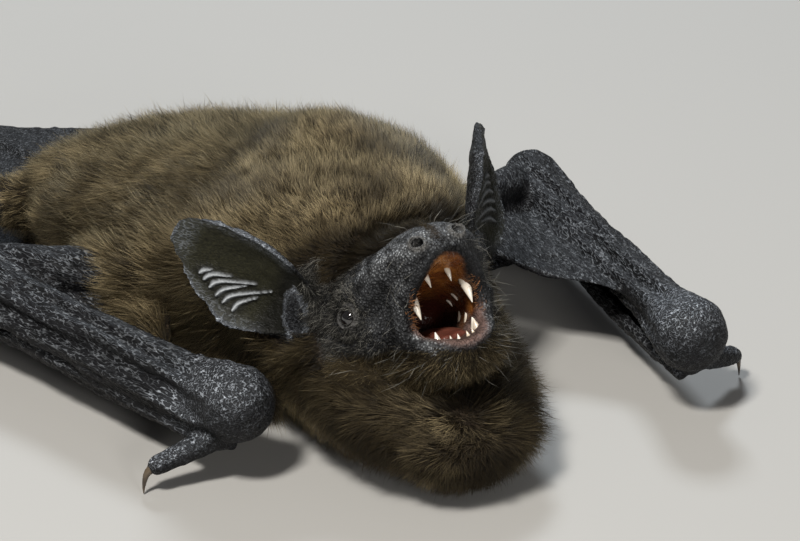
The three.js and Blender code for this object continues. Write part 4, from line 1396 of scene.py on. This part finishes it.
FACE_HAIRS = 56000
ring_middle = mouth_ring(triangle_middle)
jaw_middle = within(JAW, triangle_middle)[:, 2]
eye_away = from_pair(EYE, triangle_middle)
off_openings = step(eye_away, 0.85, 0.95) * step(from_pair(NOSTRIL, triangle_middle), 0.55, 0.7)
bare_face = near_face(triangle_middle) * (1 - step(furred_middle, 0.7, 0.9))
bare_face = bare_face * step(ring_middle, 1.25, 1.4) * off_openings
chin_middle = step(jaw_middle, 0.6, -0.4)
cheek = step(forward_middle, 5.5, 3.5)
root, normal = scatter(FACE_HAIRS, bare_face * (1 + 1.8 * cheek + 1.2 * chin_middle))
forward = head_spot(root)[1]
chin = step(within(JAW, root)[:, 2], 0.6, -0.4)
length = 0.27 + 0.3 * step(forward, 7.5, 4.0) + 0.45 * step(forward, 4.5, 2.5)
length += 0.7 * chin * step(forward, 1.5, 4)
# Silvery hairs: pale hairs, painted bright enough to stand in for glints.
silvery = chance.random(FACE_HAIRS) < 0.36 - 0.1 * chin - 0.14 * step(forward, 5, 3)
tint = np.where(silvery, 0.3 + 0.7 * chance.random(FACE_HAIRS), 0.1 * chance.random(FACE_HAIRS))
flow = along_skin(combed(0.35, 1, -0.2)(root), normal)
flow = turned(flow, normal, spread(FACE_HAIRS, 0.45))
lean = np.radians(28 + 12 * chin) + spread(FACE_HAIRS, 0.2)
width = 0.034 + 0.01 * chin
length = length * (1 + spread(FACE_HAIRS, 0.2))
for name, chosen, paint in (("face_hairs", chin < 0.3, face_paint), ("chin_hairs", chin >= 0.3, fur_paint)):
    shape = [part[chosen] for part in (root, normal, flow, length, lean, width, tint)]
    hair_piece(name, *shape, paint=paint)


def grow_hairs(name, count, density, comb, wander, length, tint, lean, width, **shape):
    """Hairs of one kind. Length is its middle, spread, least and most; lean its degrees and spread."""
    root, normal = scatter(count, density)
    flow = turned(along_skin(comb(root), normal), normal, spread(count, wander))
    lengths = np.clip(length[0] + spread(count, length[1]), length[2], length[3])
    tints = tint(count)
    leans = np.radians(lean[0]) + spread(count, lean[1])
    hair_piece(name, root, normal, flow, lengths, leans, width, tints, **shape)


def from_eye(root):
    """Directions away from the closer eye."""
    right_eye, left_eye = (np.array(set_on_head(s, EYE).translation) for s in (-1, 1))
    return root - np.where(head_spot(root)[0][:, None] < 0, right_eye, left_eye)


grow_hairs(
    "eye_fuzz", 4200, step(eye_away, 0.85, 1.0) * (1 - step(eye_away, 1.5, 2.4)),
    comb=from_eye, wander=0.35, length=(0.55, 0.12, 0, 2), lean=(28, 0.2), width=0.026,
    tint=lambda count: 0.05 + 0.8 * chance.random(count) ** 2,
)

# ---- Whiskers ----------------------------------------------------------------------------------------
# Longer pale hairs stand out from the lips and chin, fewer on the bat's right side. A short reddish
# fringe edges the upper lip.
near_lip = step(ring_middle, 2.2, 1.6) * step(forward_middle, 4, 6)
fewer = np.where(side_middle < 0, 0.45, 1)
grow_hairs(
    "whiskers", 170, bare_face * (near_lip + 0.6 * chin_middle) * fewer,
    comb=combed(0.9, 0.9, -0.4), wander=0.4, length=(1.7, 0.6, 0.7, 3.6), lean=(55, 0.2), width=0.023,
    tint=lambda count: 0.6 + spread(count, 0.2), curved=True, bend=0.5,
)
lip_paint = hair_paint(
    "reddish_lip_hair",
    dull=((0.02, 0.008, 0.004), (0.10, 0.035, 0.012), (0.26, 0.10, 0.035)),
    bright=((0.05, 0.02, 0.01), (0.35, 0.14, 0.05), (0.75, 0.45, 0.24)),
)
upper_lip = step(ring_middle, 1.08, 1.16) * step(ring_middle, 1.45, 1.3) * step(jaw_middle, 0.9, 1.5)
grow_hairs(
    "lip_hairs", 170, upper_lip * step(forward_middle, 3.5, 5) * step(forward_middle, 9, 8),
    comb=combed(-0.8, -0.5, -0.3), wander=0.5, length=(0.6, 0.16, 0, 2), lean=(40, 0.25), width=0.024,
    tint=chance.random, curved=True, bend=0.4, paint=lip_paint,
)
